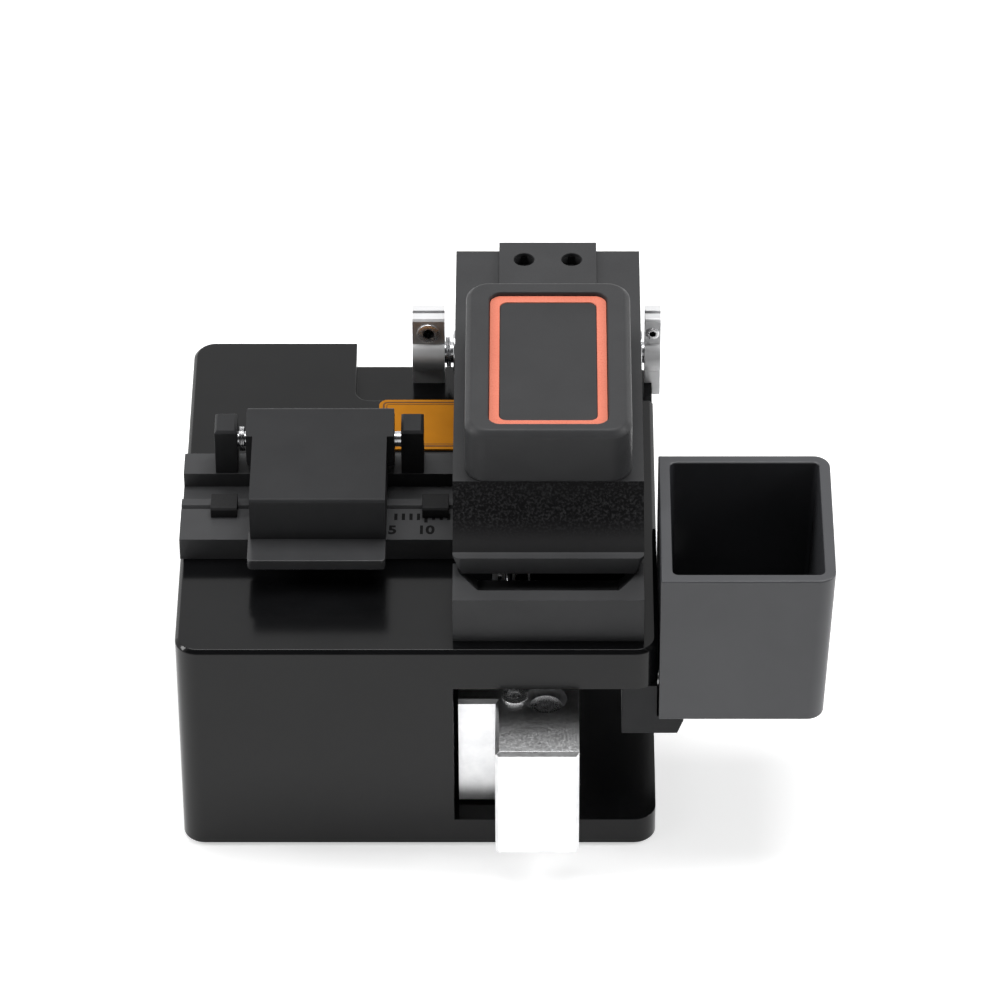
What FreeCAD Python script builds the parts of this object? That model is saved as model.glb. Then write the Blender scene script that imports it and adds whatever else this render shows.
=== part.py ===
"""Bench fibre cleaver: base with linear slide and blade, clamp lid, and hinged lever.

Frame: millimetres, +Z up, +Y from the front to the back, +X to the right.
The origin is the centre of the base's non-slip pad, on the surface it stands on.
"""
import FreeCAD
import Part
import math
import os

V = FreeCAD.Vector
PEG_SIDES = 10

# ---------------------------------------------------------------- driving dimensions
# General clearances
fit_gap = 0.02            # radial gap of parts fitted into each other
run_gap = 0.04            # radial gap of shafts that turn
guide_gap = 0.08          # gap of the carriage on its rail
air = 0.3                 # gap between pieces that move past each other

# Base
base_width = 63.0
base_depth = 65.0
base_height = 33.8
base_corner = 3.0
base_edge = 0.5
pad_thickness = 0.5
pad_margin = 2.5
deck_thickness = 6.5
floor_thickness = 4.2
pocket_side = 7.7         # free pocket left of the left hinge bracket
pocket_length = 13.0
pocket_drop = 4.5
pocket_corner = 2.0

# Fibre bed across the deck
bed_setback = 18.6        # from the base's front to the bed's front face
bed_height = 3.4
bed_tuck = 0.6            # length of the bed under the lever
scale_land = 6.3
groove_width = 0.8
groove_depth = 0.6
ridge_width = 1.3
relief_width = 5.2
relief_depth = 2.2
rear_land = 4.3
guide_width = 3.5
guide_length = 3.4
guide_height = 1.5
guide_left_offset = 4.0
guide_right_inset = 4.8
bed_screw_spacing = 9.6
bed_screw_depth = 5.0

# Clamp lid over the bed
lid_pin_r = 1.0
lid_axis_back = 16.1      # behind the bed's front face
lid_axis_up = 4.0         # above the bed's top
lid_offset = 9.5
lid_lever_gap = 8.9       # window with the scale, between lid and lever
lid_knuckle_extra = 0.9
lid_knuckle_front = 4.9
lid_front_height = 6.6
lid_rear_rise = 0.3
lid_rear_corner = 0.9
lid_overhang = 1.8
lid_tab_reach = 4.4
lid_tab_thickness = 1.8
lid_pad_length = 5.0
lid_pad_inset = 1.2
lid_pad_gap = 5.4
lid_pad_depth = 1.2
ear_width = 3.0
ear_gap_left = 1.3
ear_gap_right = 0.9
ear_height = 7.1

# Lever
lever_margin = 1.9        # from the lever to the base's right side
lever_width = 24.9
lever_lip_setback = 7.1
lever_top_height = 16.2   # above the deck
lever_rear_setback = 0.7
lever_under_height = 5.3  # above the deck
lip_height = 2.6
lip_slant = 1.2           # how far the lip's ends lean in at its lower edge
lip_slant_length = 3.0
neck_radius = 7.8
neck_setback = 15.2
lever_lug_r = 3.2
axis_setback = 2.5        # from the base's rear face to the lever's shaft
axis_height = 0.1         # above the deck
shaft_r = 1.5
bush_r = 2.2
bush_length = 4.0
bush_flange_r = 3.0
bush_flange = 0.5
cap_inset = 1.55
cap_front_setback = 15.0
cap_length = 32.4
cap_height = 8.2
cap_corner = 3.0
cap_edge = 0.8
cap_screw_side = 7.0
cap_screw_inset = 7.0
cap_screw_grip = 3.5
ring_inset_side = 3.1
ring_inset_front = 2.1
ring_inset_rear = 2.7
ring_band = 1.4
ring_corner = 1.6
ring_thickness = 0.5
label_pocket = 1.1
plate_thickness = 0.4
back_plate_width = 13.2
back_plate_length = 14.5
back_plate_rise = 0.6
back_plate_overhang = 1.2
back_hole_spacing = 6.45
back_hole_setback = 2.6
back_hole_r = 1.45

# Thumb block below the lever's lip
thumb_setback = 2.1
thumb_length = 7.4
thumb_height = 7.04
thumb_land = 2.0
scoop_r = 6.1
scoop_up = 3.2
scoop_cheek = 0.7
scoop_taper = 2.6

# Blade, clamp blocks and anvil
fibre_back = 6.7          # fibre line behind the bed's front face
blade_inset = 7.25        # from the lever's left side to the blade's middle plane
blade_r = 8.0
blade_thickness = 0.9
blade_bevel = 0.5
blade_rest_setback = 16.5
slider_travel = 20.0
hub_r = 2.0
slot_left_gap = 1.75
slot_width = 5.0
slot_end_gap = 0.6
clamp_length = 14.0
clamp_right_width = 14.3
clamp_screw_inset = 6.6
lower_pad_width = 3.4
lower_pad_length = 7.0
lower_pad_depth = 1.2
upper_pad_depth = 1.2
pad_air = 0.25
upper_clamp_height = 1.0
anvil_r = 1.5
anvil_collar_r = 2.2
anvil_collar = 1.5
anvil_shoulder = 4.4      # metal below the collar
anvil_travel = 1.0
anvil_air = 0.4
spring_wire = 0.45
torsion_wire = 0.4
spring_air = 0.45         # from a pin's surface to its torsion spring's middle line
clamp_magnet_r = 2.5
magnet_thickness = 2.0
magnet_air = 0.4

# Slider on its linear rail
rail_width = 5.0
rail_height = 3.6
rail_end = 1.0
carriage_width = 12.0
carriage_length = 21.4
carriage_height = 5.2
carriage_lift = 0.8
slider_side_gap = 0.6     # from the channel's wall to the slider
slider_width = 15.9
slider_front_setback = 3.4
slider_length = 34.6
slider_deck_gap = 5.1     # from the slider's top to the deck's underside
slider_clear = 0.5
nose_width = 11.0
nose_reach = 10.3
nose_edge = 0.5
nose_skirt = 2.5
nose_side_wall = 1.5
rail_groove_gap = 0.4
set_screw_r = 1.45
set_screw_depth = 5.5
set_screw_head_r = 1.75
set_screw_head = 0.55
counterbore_r = 2.75
nose_screw_r = 1.25
nose_screw_head_r = 2.2
nose_screw_length = 8.0
counterbore_depth = 2.6
holder_foot_width = 7.2
holder_foot_length = 10.0
holder_foot = 2.5
holder_wall = 1.7
holder_gap = 0.4
holder_r = 3.6
stop_pin_r = 1.0
stop_inset = 2.4
stop_groove_depth = 2.6
stop_groove_setback = 6.6

# Hinge brackets
bracket_left_width = 4.4
bracket_left_gap = 1.2    # room for the torsion spring
bracket_right_gap = 0.35
bracket_overhang = 1.15   # past the base's right side
bracket_barrel_r = 2.6
bracket_tab_height = 7.1
bracket_tab_front = 1.2   # in front of the shaft's axis
bracket_tab_depth = 3.6
bracket_foot_front = 1.1  # in front of the shaft's axis
bracket_slit = 0.6
bracket_slit_setback = 0.65
bracket_screw_height = 4.75
bracket_screw_head_r = 1.55
bracket_hook = 2.0

# Scrap bin
bin_gap = 0.15
bin_width = 22.6
bin_length = 25.6
bin_height = 23.8
bin_top_rise = 12.0       # above the deck
bin_wall = 1.5
bin_draft = 1.0           # lean of the outer side, from rim to floor
bin_corner = 2.2
bin_inner_corner = 0.8
bin_arm_reach = 3.4        # beyond the base's side
bin_arm_width = 4.7
bin_arm_thickness = 3.0
bin_arm_length = 20.0
bin_arm_setback = 0.7
bin_arm_tip = 0.8

# Orange notice plate on the deck, left blank
notice_width = 14.2
notice_slot_gap = 1.35
notice_setback = 41.2
notice_length = 10.6
notice_thickness = 0.3
notice_corner = 1.2

# Screws
m2_r = 1.0
m2_head_r = 1.9
m2_head = 1.6
small_head_r = 1.7
small_head = 1.3
tiny_r = 0.6
head_cover = 0.2          # how deep a sunk head lies below its surface
carriage_screw_side = 4.0
carriage_screw_inset = 4.0
carriage_screw_depth = 7.0
carriage_screw_grip = 2.0
holder_screw_inset = 2.6
holder_screw_spacing = 5.4
holder_screw_grip = 3.0
clamp_screw_end = 3.0
clamp_screw_grip = 2.2
rail_screw_inset = 4.0
rail_head_depth = 1.7
rail_screw_length = 3.4
bin_arm_screw_inset = 7.0
bin_arm_screw_grip = 3.5
bin_screw_rise = 2.0       # above the bin's floor
bin_screw_inset = 3.6
bin_screw_grip = 3.0
foot_screw_length = 5.0
back_screw_depth = 2.4
back_screw_length = 3.0
back_screw_head = 1.2
bracket_head_depth = 0.7
bracket_head = 0.9
tab_screw_side = 2.5
tab_screw_grip = 3.4

# ---------------------------------------------------------------- derived places
left = -base_width / 2
right = base_width / 2
front = -base_depth / 2
back = base_depth / 2
base_bottom = pad_thickness
deck = base_bottom + base_height
deck_under = deck - deck_thickness
channel_floor = base_bottom + floor_thickness
lever_right = right - lever_margin
lever_left = lever_right - lever_width
pocket_front = back - pocket_length
pocket_floor = deck - pocket_drop

bed_front = front + bed_setback
bed_top = deck + bed_height
groove_front = bed_front + scale_land
ridge_front = groove_front + groove_width
relief_front = ridge_front + ridge_width
relief_back = relief_front + relief_width
bed_back = relief_back + rear_land
fibre_y = bed_front + fibre_back

lid_axis_y = bed_front + lid_axis_back
lid_axis_z = bed_top + lid_axis_up
lid_left = left + lid_offset
lid_right = lever_left - lid_lever_gap
knuckle_left = lid_left - lid_knuckle_extra
knuckle_right = lid_right + lid_knuckle_extra
lid_under = bed_top + air + 0.1
lid_front = bed_front - lid_overhang
tab_bottom = bed_top - 0.2
tab_top = tab_bottom + lid_tab_thickness
ear_left_right_face = knuckle_left - ear_gap_left
ear_right_left_face = knuckle_right + ear_gap_right

bed_right = lever_left + bed_tuck
lever_mid = (lever_left + lever_right) / 2
lever_top = deck + lever_top_height
lever_under = deck + lever_under_height
lever_front = front + lever_lip_setback
lever_back = back - lever_rear_setback
axis_y = back - axis_setback
axis_z = deck + axis_height
cap_front = front + cap_front_setback
cap_back = cap_front + cap_length
cap_top = lever_top + cap_height

thumb_front = front + thumb_setback
thumb_back = thumb_front + thumb_length
thumb_top = deck + thumb_height
lip_under = thumb_top + air
lip_top = lip_under + lip_height

blade_x = lever_left + blade_inset
blade_y = front + blade_rest_setback
blade_z = bed_top - blade_r
slot_left = blade_x - slot_left_gap - blade_thickness / 2
slot_right = slot_left + slot_width
slot_front = blade_y - blade_r - slot_end_gap
slot_back = blade_y + slider_travel + blade_r + slot_end_gap
clamp_right_left = slot_right + 0.1
clamp_right_right = clamp_right_left + clamp_right_width
clamp_front = bed_front

channel_left = lever_left
slider_left = channel_left + slider_side_gap
rail_x = slider_left + slider_width / 2
rail_top = channel_floor + rail_height
slider_right = slider_left + slider_width
slider_front = front + slider_front_setback
slider_back = slider_front + slider_length
slider_top = deck_under - slider_deck_gap
slider_bottom = channel_floor + slider_clear
carriage_back = slider_back - 0.1
carriage_front = carriage_back - carriage_length
carriage_bottom = channel_floor + carriage_lift
carriage_top = carriage_bottom + carriage_height
nose_left = slider_right - nose_width
nose_front = slider_front - nose_reach
rail_front = nose_front + nose_skirt + slider_travel + rail_groove_gap
rail_back = back - rail_end

bracket_left_x = lever_left - bush_flange - bracket_left_gap - bracket_left_width
bracket_right_x = lever_right + bush_flange + bracket_right_gap
bracket_right_width = right + bracket_overhang - bracket_right_x
pocket_left = bracket_left_x - pocket_side
bracket_tab_top = axis_z + bracket_tab_height - 0.6
bracket_screw_z = axis_z + bracket_screw_height - 0.55
bracket_front = axis_y - bracket_tab_front

bin_left = right + bin_gap
bin_top = deck + bin_top_rise
bin_bottom = bin_top - bin_height
bin_back = front + bin_length


# ---------------------------------------------------------------- shape helpers
def box(x0, x1, y0, y1, z0, z1):
    """A box between two corners."""
    return Part.makeBox(x1 - x0, y1 - y0, z1 - z0, V(x0, y0, z0))


def rod(axis, r, centre, start, end):
    """A cylinder along axis 'x', 'y' or 'z'; centre holds its two other coordinates."""
    a, b = centre
    base, way = {
        "x": (V(start, a, b), V(1, 0, 0)),
        "y": (V(a, start, b), V(0, 1, 0)),
        "z": (V(a, b, start), V(0, 0, 1)),
    }[axis]
    return Part.makeCylinder(r, end - start, base, way)


def along_x(points, x0, x1):
    """A closed (y, z) outline extruded from x0 to x1."""
    wire = Part.makePolygon([V(x0, y, z) for y, z in points] + [V(x0, *points[0])])
    return Part.Face(wire).extrude(V(x1 - x0, 0, 0))


def along_y(points, y0, y1):
    """A closed (x, z) outline extruded from y0 to y1."""
    wire = Part.makePolygon([V(x, y0, z) for x, z in points] + [V(points[0][0], y0, points[0][1])])
    return Part.Face(wire).extrude(V(0, y1 - y0, 0))


def edges_where(shape, test):
    """The edges whose bounding box passes the test."""
    return [edge for edge in shape.Edges if test(edge.BoundBox)]


def upright(bb):
    """True for an edge that runs along Z."""
    return bb.ZLength > 0.1 and bb.XLength < 0.001 and bb.YLength < 0.001


def rounded_box(x0, x1, y0, y1, z0, z1, r):
    """A box with its four vertical edges rounded."""
    solid = box(x0, x1, y0, y1, z0, z1)
    return solid.makeFillet(r, edges_where(solid, upright))


def level(bb, z):
    """True for an edge that lies at height z."""
    return abs(bb.ZMin - z) < 0.001 and abs(bb.ZMax - z) < 0.001


def peg(axis, r, centre, start, end, sides=PEG_SIDES):
    """A many-sided prism for small fasteners and their holes, which keeps the facets few."""
    a, b = centre
    turns = [k * 2 * math.pi / sides for k in range(sides)]
    corners = [(a + r * math.cos(turn), b + r * math.sin(turn)) for turn in turns]
    place = {
        "x": lambda p: V(start, *p),
        "y": lambda p: V(p[0], start, p[1]),
        "z": lambda p: V(p[0], p[1], start),
    }[axis]
    way = {"x": V(1, 0, 0), "y": V(0, 1, 0), "z": V(0, 0, 1)}[axis]
    wire = Part.makePolygon([place(p) for p in corners + corners[:1]])
    return Part.Face(wire).extrude(way * (end - start))


def cap_screw(axis, centre, seat, length, out, r=m2_r, head_r=m2_head_r, head=m2_head):
    """A cap screw whose head stands on seat; out is +1 or -1 along the axis."""
    top = seat + out * head
    tip = seat - out * length
    screw = peg(axis, head_r, centre, min(seat, top), max(seat, top))
    return screw.fuse(peg(axis, r, centre, min(seat, tip), max(seat, tip))).removeSplitter()


def group(shapes):
    """Several separate solids in one node."""
    return Part.makeCompound(shapes)


def spring_sleeve(axis, centre, start, end, mean_r, wire):
    """A wound spring's outer shape: a tube as thick as its wire."""
    sleeve = peg(axis, mean_r + wire / 2, centre, start, end, 16)
    return sleeve.cut(peg(axis, mean_r - wire / 2, centre, start - 1, end + 1, 16))


# ---------------------------------------------------------------- base
def base_body():
    """C-shaped block: solid on the left, deck and floor around a channel on the right."""
    body = rounded_box(left, right, front, back, base_bottom, deck, base_corner)
    body = body.makeChamfer(base_edge, edges_where(body, lambda bb: level(bb, deck)))
    channel = box(channel_left, right + 1, front - 1, back + 1, channel_floor, deck_under)
    pocket = box(pocket_left, right + 1, pocket_front, back + 1, pocket_floor, deck + 1)
    inner = edges_where(
        pocket, lambda bb: upright(bb) and bb.XMin < pocket_left + 0.1 and bb.YMin < pocket_front + 0.1)
    pocket = pocket.makeFillet(pocket_corner, inner)
    slot = rounded_box(slot_left, slot_right, slot_front, slot_back, deck_under - 1, deck + 1, 1.0)
    body = body.cut(channel).cut(pocket).cut(slot)
    for x, y in bed_screw_places():
        body = body.cut(peg("z", m2_r + fit_gap, (x, y), deck - bed_screw_depth - 1, deck + 1))
    for x, y in clamp_block_screw_places():
        body = body.cut(peg("z", m2_r + fit_gap, (x, y), deck_under - 1, deck + 1))
    for y in rail_screw_places():
        body = body.cut(peg("z", m2_r + fit_gap, (rail_x, y), base_bottom + 1, channel_floor + 1))
    for x, y in bin_arm_screw_places():
        top = deck_under + bin_arm_screw_grip + 0.5
        body = body.cut(peg("z", m2_r + fit_gap, (x, y), deck_under - 1, top))
    for x in (bracket_left_x + bracket_left_width / 2,):
        body = body.cut(peg("z", m2_r + fit_gap, (x, bracket_foot_screw_y()),
                            pocket_floor - foot_screw_length - 1, pocket_floor + 1))
    body = body.cut(peg("z", stop_pin_r + fit_gap, stop_pin_place(), deck_under - 1, deck_under + 3.5))
    return body


def base_pad():
    """Thin non-slip sheet under the base."""
    inset = pad_margin
    return rounded_box(left + inset, right - inset, front + inset, back - inset, 0, base_bottom, base_corner)


def clamp_block_screw_places():
    """Screws that hold the right clamp block on the deck, beside the blade's slot."""
    x = clamp_right_right - clamp_screw_inset
    return [(x, clamp_front + clamp_screw_end), (x, clamp_front + clamp_length - clamp_screw_end)]


def bed_screw_places():
    """The two screws of the fibre bed stand in its relief, under the lid."""
    y = (relief_front + relief_back) / 2
    middle = (lid_left + lid_right) / 2
    return [(middle - bed_screw_spacing / 2, y), (middle + bed_screw_spacing / 2, y)]


def rail_screw_places():
    """Three screws along the rail."""
    start = rail_front + rail_screw_inset
    step = (rail_back - rail_front - 2 * rail_screw_inset) / 2
    return [start + k * step for k in range(3)]


def bracket_foot_screw_y():
    """The bracket's foot screw stands behind its barrel's middle."""
    return axis_y + 0.6


def stop_pin_place():
    """The pin hangs from the deck at the groove's rear end when the slider is in front."""
    x = slider_left + stop_inset
    y = slider_front + stop_groove_setback + slider_travel + stop_pin_r + 2 * air
    return (x, y)


def fibre_bed():
    """Profiled bar: scale land, fibre groove, ridge, relief channel and rear land."""
    floor = bed_top - relief_depth
    outline = [
        (bed_front, deck), (bed_front, bed_top),
        (groove_front, bed_top), (groove_front + groove_width / 2, bed_top - groove_depth),
        (ridge_front, bed_top),
        (relief_front, bed_top), (relief_front, floor), (relief_back, floor), (relief_back, bed_top),
        (bed_back, bed_top), (bed_back, deck),
    ]
    bed = along_x(outline, left, bed_right - 0.05)
    for x, y in bed_screw_places():
        bed = bed.cut(peg("z", m2_r + fit_gap, (x, y), deck - 1, bed_top))
    seat = bed_top - magnet_thickness
    bed = bed.cut(peg("z", clamp_magnet_r + fit_gap, lid_magnet_place(), seat, bed_top + 1))
    return bed


def bed_magnet():
    """Magnet let into the scale land, below the lid."""
    return peg("z", clamp_magnet_r, lid_magnet_place(), bed_top - magnet_thickness, bed_top)


def bed_screws():
    """Two cap screws in the relief of the bed."""
    seat = bed_top - relief_depth
    length = seat - deck + bed_screw_depth
    return group([cap_screw("z", place, seat, length, 1, head=small_head) for place in bed_screw_places()])


def fibre_guide(x0):
    """Small hold-down block that bridges the fibre groove."""
    y0 = fibre_y - guide_length * 0.65
    block = box(x0, x0 + guide_width, y0, y0 + guide_length, bed_top, bed_top + guide_height)
    top = edges_where(block, lambda bb: level(bb, bed_top + guide_height) and bb.XLength > 1)
    block = block.makeChamfer(0.25, top)
    tunnel = rod("x", groove_width / 2, (fibre_y, bed_top), x0 - 1, x0 + guide_width + 1)
    return block.cut(tunnel)


def lid_ear(x0):
    """Upright lug that carries one end of the lid's pin."""
    top = bed_top + ear_height
    ear = box(x0, x0 + ear_width, relief_back + 0.15, bed_back, bed_top, top)
    ear = ear.makeChamfer(0.35, edges_where(ear, lambda bb: level(bb, top)))
    return ear.cut(rod("x", lid_pin_r + fit_gap, (lid_axis_y, lid_axis_z), x0 - 1, x0 + ear_width + 1))


def lid_pin():
    """Pin through both ears and the lid's knuckle."""
    start = ear_left_right_face - ear_width
    end = ear_right_left_face + ear_width
    return rod("x", lid_pin_r, (lid_axis_y, lid_axis_z), start, end)


def notice_plate():
    """Blank orange plate on the deck."""
    x0 = slot_left - notice_slot_gap - notice_width
    y0 = front + notice_setback
    x1 = x0 + notice_width
    return rounded_box(x0, x1, y0, y0 + notice_length, deck, deck + notice_thickness, notice_corner)


# ---------------------------------------------------------------- clamp lid
def lid():
    """Thick cover with a sloping top, rounded over its hinge pin."""
    radius = lid_axis_up - air - 0.1
    front_top = tab_top + lid_front_height
    rear_y = lid_axis_y + 1.5
    rear_top = front_top + lid_rear_rise
    outline = [
        (lid_front, tab_top), (lid_front, front_top), (rear_y, rear_top),
        (rear_y, lid_axis_z), (lid_axis_y, lid_axis_z), (lid_axis_y, lid_under),
        (bed_front + air, lid_under), (bed_front + air, tab_top),
    ]
    knuckle_front = lid_axis_y - lid_knuckle_front
    wide = along_x(outline, knuckle_left, knuckle_right).common(
        box(knuckle_left, knuckle_right, knuckle_front, rear_y, lid_axis_z, rear_top))
    body = along_x(outline, lid_left, lid_right).fuse(wide).removeSplitter()
    rear = edges_where(body, lambda bb: bb.YMin > rear_y - 0.01 and (upright(bb) or level(bb, rear_top)))
    body = body.makeFillet(lid_rear_corner, rear)
    top_front = edges_where(
        body, lambda bb: bb.XLength > 5 and abs(bb.ZMax - front_top) < 0.01 and bb.YLength < 0.01)
    body = body.makeFillet(0.5, top_front)
    barrel = rod("x", radius, (lid_axis_y, lid_axis_z), knuckle_left, knuckle_right)
    limit = box(knuckle_left - 1, knuckle_right + 1, lid_axis_y - 9, rear_y, lid_under, rear_top + 1)
    body = body.fuse(barrel.common(limit)).removeSplitter()
    pin_line = (lid_axis_y, lid_axis_z)
    body = body.cut(rod("x", lid_pin_r + run_gap, pin_line, knuckle_left - 1, knuckle_right + 1))
    for x0, x1 in lid_pad_spans():
        body = body.cut(box(x0, x1, fibre_y - lid_pad_length / 2, fibre_y + lid_pad_length / 2,
                            lid_under - 1, lid_under + lid_pad_depth))
    for x, y in lid_tab_screw_places():
        body = body.cut(peg("z", tiny_r + fit_gap, (x, y), tab_top - 1, tab_top + tab_screw_grip))
    seat = lid_under + magnet_thickness
    body = body.cut(peg("z", clamp_magnet_r + fit_gap, lid_magnet_place(), lid_under - 1, seat))
    return body


def lid_magnet_place():
    """The magnets of the lid and the bed meet in the middle of the scale land."""
    return ((lid_left + lid_right) / 2, bed_front + scale_land / 2)


def lid_magnet():
    """Magnet in the lid's underside."""
    return peg("z", clamp_magnet_r, lid_magnet_place(), lid_under, lid_under + magnet_thickness)


def lid_pad_spans():
    """Where the lid's two rubber pads lie along X."""
    start = lid_left + lid_pad_inset
    end = lid_right - lid_pad_inset
    width = (end - start - lid_pad_gap) / 2
    return [(start, start + width), (end - width, end)]


def lid_pads():
    """Two rubber pads that hold the coated fibre down."""
    y0 = fibre_y - lid_pad_length / 2 + fit_gap
    y1 = fibre_y + lid_pad_length / 2 - fit_gap
    return group([
        box(x0 + fit_gap, x1 - fit_gap, y0, y1, bed_top + air / 2, lid_under + lid_pad_depth)
        for x0, x1 in lid_pad_spans()
    ])


def lid_tab_screw_places():
    """Screws that hold the finger tab under the lid's front."""
    y = (lid_front + bed_front - air) / 2
    return [(lid_left + tab_screw_side, y), (lid_right - tab_screw_side, y)]


def lid_tab():
    """Finger tab in front of the lid."""
    y0 = lid_front - lid_tab_reach
    tab = box(lid_left - 0.3, lid_right, y0, bed_front - air, tab_bottom, tab_top)
    front_edges = edges_where(tab, lambda bb: upright(bb) and bb.YMin < y0 + 0.1)
    tab = tab.makeFillet(0.6, front_edges)
    under_front = edges_where(
        tab, lambda bb: level(bb, tab_bottom) and bb.XLength > 5 and bb.YMin < y0 + 0.1)
    tab = tab.makeChamfer(0.3, under_front)
    for x, y in lid_tab_screw_places():
        tab = tab.cut(peg("z", tiny_r + fit_gap, (x, y), tab_bottom - 1, tab_top + 1))
    return tab


def lid_tab_screws():
    """Flush screws from the tab's underside into the lid."""
    top = tab_top + tab_screw_grip - 0.3
    return group([peg("z", tiny_r, place, tab_bottom, top) for place in lid_tab_screw_places()])


def lid_spring():
    """Torsion spring on the pin, between the left ear and the lid."""
    start = ear_left_right_face + 0.1
    end = knuckle_left - air
    return spring_sleeve("x", (lid_axis_y, lid_axis_z), start, end, lid_pin_r + spring_air, torsion_wire)


# ---------------------------------------------------------------- lever
def lever_arm():
    """Machined arm: front lip, concave finger neck, flat top and a hinge lug at the rear."""
    neck_back = front + neck_setback
    bore_y = lever_back
    neck_centre = V(0, neck_back - math.sqrt(neck_radius ** 2 - 1.5 ** 2), lever_top + 1.5)
    lip_land = neck_centre.y
    lowest = neck_centre.z - neck_radius
    middle_angle = math.radians(-48)
    middle_y = neck_centre.y + neck_radius * math.cos(middle_angle)
    middle_z = neck_centre.z + neck_radius * math.sin(middle_angle)

    def at(y, z):
        return V(lever_left, y, z)

    tangent_y = axis_y - lever_lug_r
    edges = [
        Part.LineSegment(at(lever_front, lip_under), at(lever_front, lowest)).toShape(),
        Part.LineSegment(at(lever_front, lowest), at(lip_land, lowest)).toShape(),
        Part.Arc(at(lip_land, lowest), at(middle_y, middle_z), at(neck_back, lever_top)).toShape(),
        Part.LineSegment(at(neck_back, lever_top), at(bore_y, lever_top)).toShape(),
        Part.LineSegment(at(bore_y, lever_top), at(bore_y, axis_z)).toShape(),
        Part.LineSegment(at(bore_y, axis_z), at(tangent_y, axis_z)).toShape(),
        Part.LineSegment(at(tangent_y, axis_z), at(tangent_y - 3.0, lever_under)).toShape(),
        Part.LineSegment(at(tangent_y - 3.0, lever_under), at(thumb_back + 3.2, lever_under)).toShape(),
        Part.LineSegment(at(thumb_back + 3.2, lever_under), at(thumb_back + 1.2, lip_under)).toShape(),
        Part.LineSegment(at(thumb_back + 1.2, lip_under), at(lever_front, lip_under)).toShape(),
    ]
    arm = Part.Face(Part.Wire(edges)).extrude(V(lever_width, 0, 0))
    arm = arm.fuse(rod("x", lever_lug_r, (axis_y, axis_z), lever_left, lever_right)).removeSplitter()
    lip_corners = edges_where(arm, lambda bb: upright(bb) and abs(bb.YMin - lever_front) < 0.001)
    arm = arm.makeFillet(1.0, lip_corners)
    for x, inward in ((lever_left, 1), (lever_right, -1)):
        wedge = [(x - inward, lip_under - 1), (x + inward * lip_slant, lip_under - 1),
                 (x + inward * lip_slant, lip_under), (x, lip_top), (x - inward, lip_top)]
        arm = arm.cut(along_y(wedge, lever_front - 1, lever_front + lip_slant_length))
    arm = arm.cut(peg("x", shaft_r + 0.4, (axis_y, axis_z), lever_left - 1, lever_right + 1))
    for x0 in (lever_left - 1, lever_right - bush_length):
        arm = arm.cut(peg("x", bush_r + fit_gap, (axis_y, axis_z), x0, x0 + bush_length + 1, 24))
    arm = arm.cut(rod("z", anvil_r + run_gap, (blade_x, fibre_y), lever_under - 1, lever_top + 1))
    shoulder = lever_under + anvil_shoulder
    arm = arm.cut(peg("z", anvil_collar_r + 4 * run_gap, (blade_x, fibre_y), shoulder, lever_top + 1))
    magnet_z = lever_under
    arm = arm.cut(peg("z", clamp_magnet_r + fit_gap, clamp_magnet_place(), magnet_z - 1, magnet_z + 0.8))
    for x, y in cap_screw_places():
        arm = arm.cut(peg("z", m2_r + fit_gap, (x, y), lever_under, lever_top + 1))
        arm = arm.cut(peg("z", m2_head_r + 0.15, (x, y), lever_under - 1, lever_under + m2_head + 0.2))
    for x, y in back_hole_places():
        low = lever_top - back_screw_depth
        arm = arm.cut(peg("z", m2_r + fit_gap, (x, y), low - back_screw_length - 0.5, lever_top + 1))
        arm = arm.cut(peg("z", back_hole_r, (x, y), low, lever_top + 1))
    return arm


def clamp_magnet_place():
    """The magnets that hold the lever shut meet here."""
    return (clamp_right_right - 3.4, clamp_front + clamp_length / 2 + 1.2)


def lever_magnet():
    """Magnet let into the lever's underside."""
    return peg("z", clamp_magnet_r, clamp_magnet_place(), bed_top + magnet_air, lever_under + 0.8)


def clamp_magnet():
    """Magnet in the right clamp block."""
    return peg("z", clamp_magnet_r, clamp_magnet_place(), bed_top - magnet_thickness, bed_top)


def cap_screw_places():
    """Two screws hold the cap from below."""
    y = cap_back - cap_screw_inset
    return [(lever_mid - cap_screw_side, y), (lever_mid + cap_screw_side, y)]


def cap_screws():
    """Screws from the lever's underside into its cap."""
    seat = lever_under + m2_head + 0.2
    length = lever_top - seat + cap_screw_grip
    return group([cap_screw("z", place, seat, length, -1) for place in cap_screw_places()])


def lever_cap():
    """Thick rounded cap with a recess for the name ring and plate, which are left blank."""
    x0 = lever_left + cap_inset
    x1 = lever_right - cap_inset
    cap = rounded_box(x0, x1, cap_front, cap_back, lever_top, cap_top, cap_corner)
    cap = cap.makeChamfer(cap_edge, edges_where(cap, lambda bb: level(bb, cap_top)))
    rx0, rx1, ry0, ry1 = ring_box()
    recess = rounded_box(rx0, rx1, ry0, ry1, cap_top - label_pocket, cap_top + 1, ring_corner)
    cap = cap.cut(recess)
    for x, y in cap_screw_places():
        cap = cap.cut(peg("z", m2_r + fit_gap, (x, y), lever_top - 1, lever_top + cap_screw_grip + 0.5))
    return cap


def ring_box():
    """The recess in the cap: left, right, front and rear."""
    x0 = lever_left + cap_inset + ring_inset_side
    x1 = lever_right - cap_inset - ring_inset_side
    return x0, x1, cap_front + ring_inset_front, cap_back - ring_inset_rear


def cap_ring():
    """Coloured frame round the plate."""
    x0, x1, y0, y1 = ring_box()
    low = cap_top - label_pocket
    gap = 0.06
    outer = rounded_box(x0 + gap, x1 - gap, y0 + gap, y1 - gap, low, low + ring_thickness, ring_corner - gap)
    band = ring_band
    inner = rounded_box(x0 + band, x1 - band, y0 + band, y1 - band, low - 1, low + 2, ring_corner - 0.6)
    return outer.cut(inner)


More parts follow.
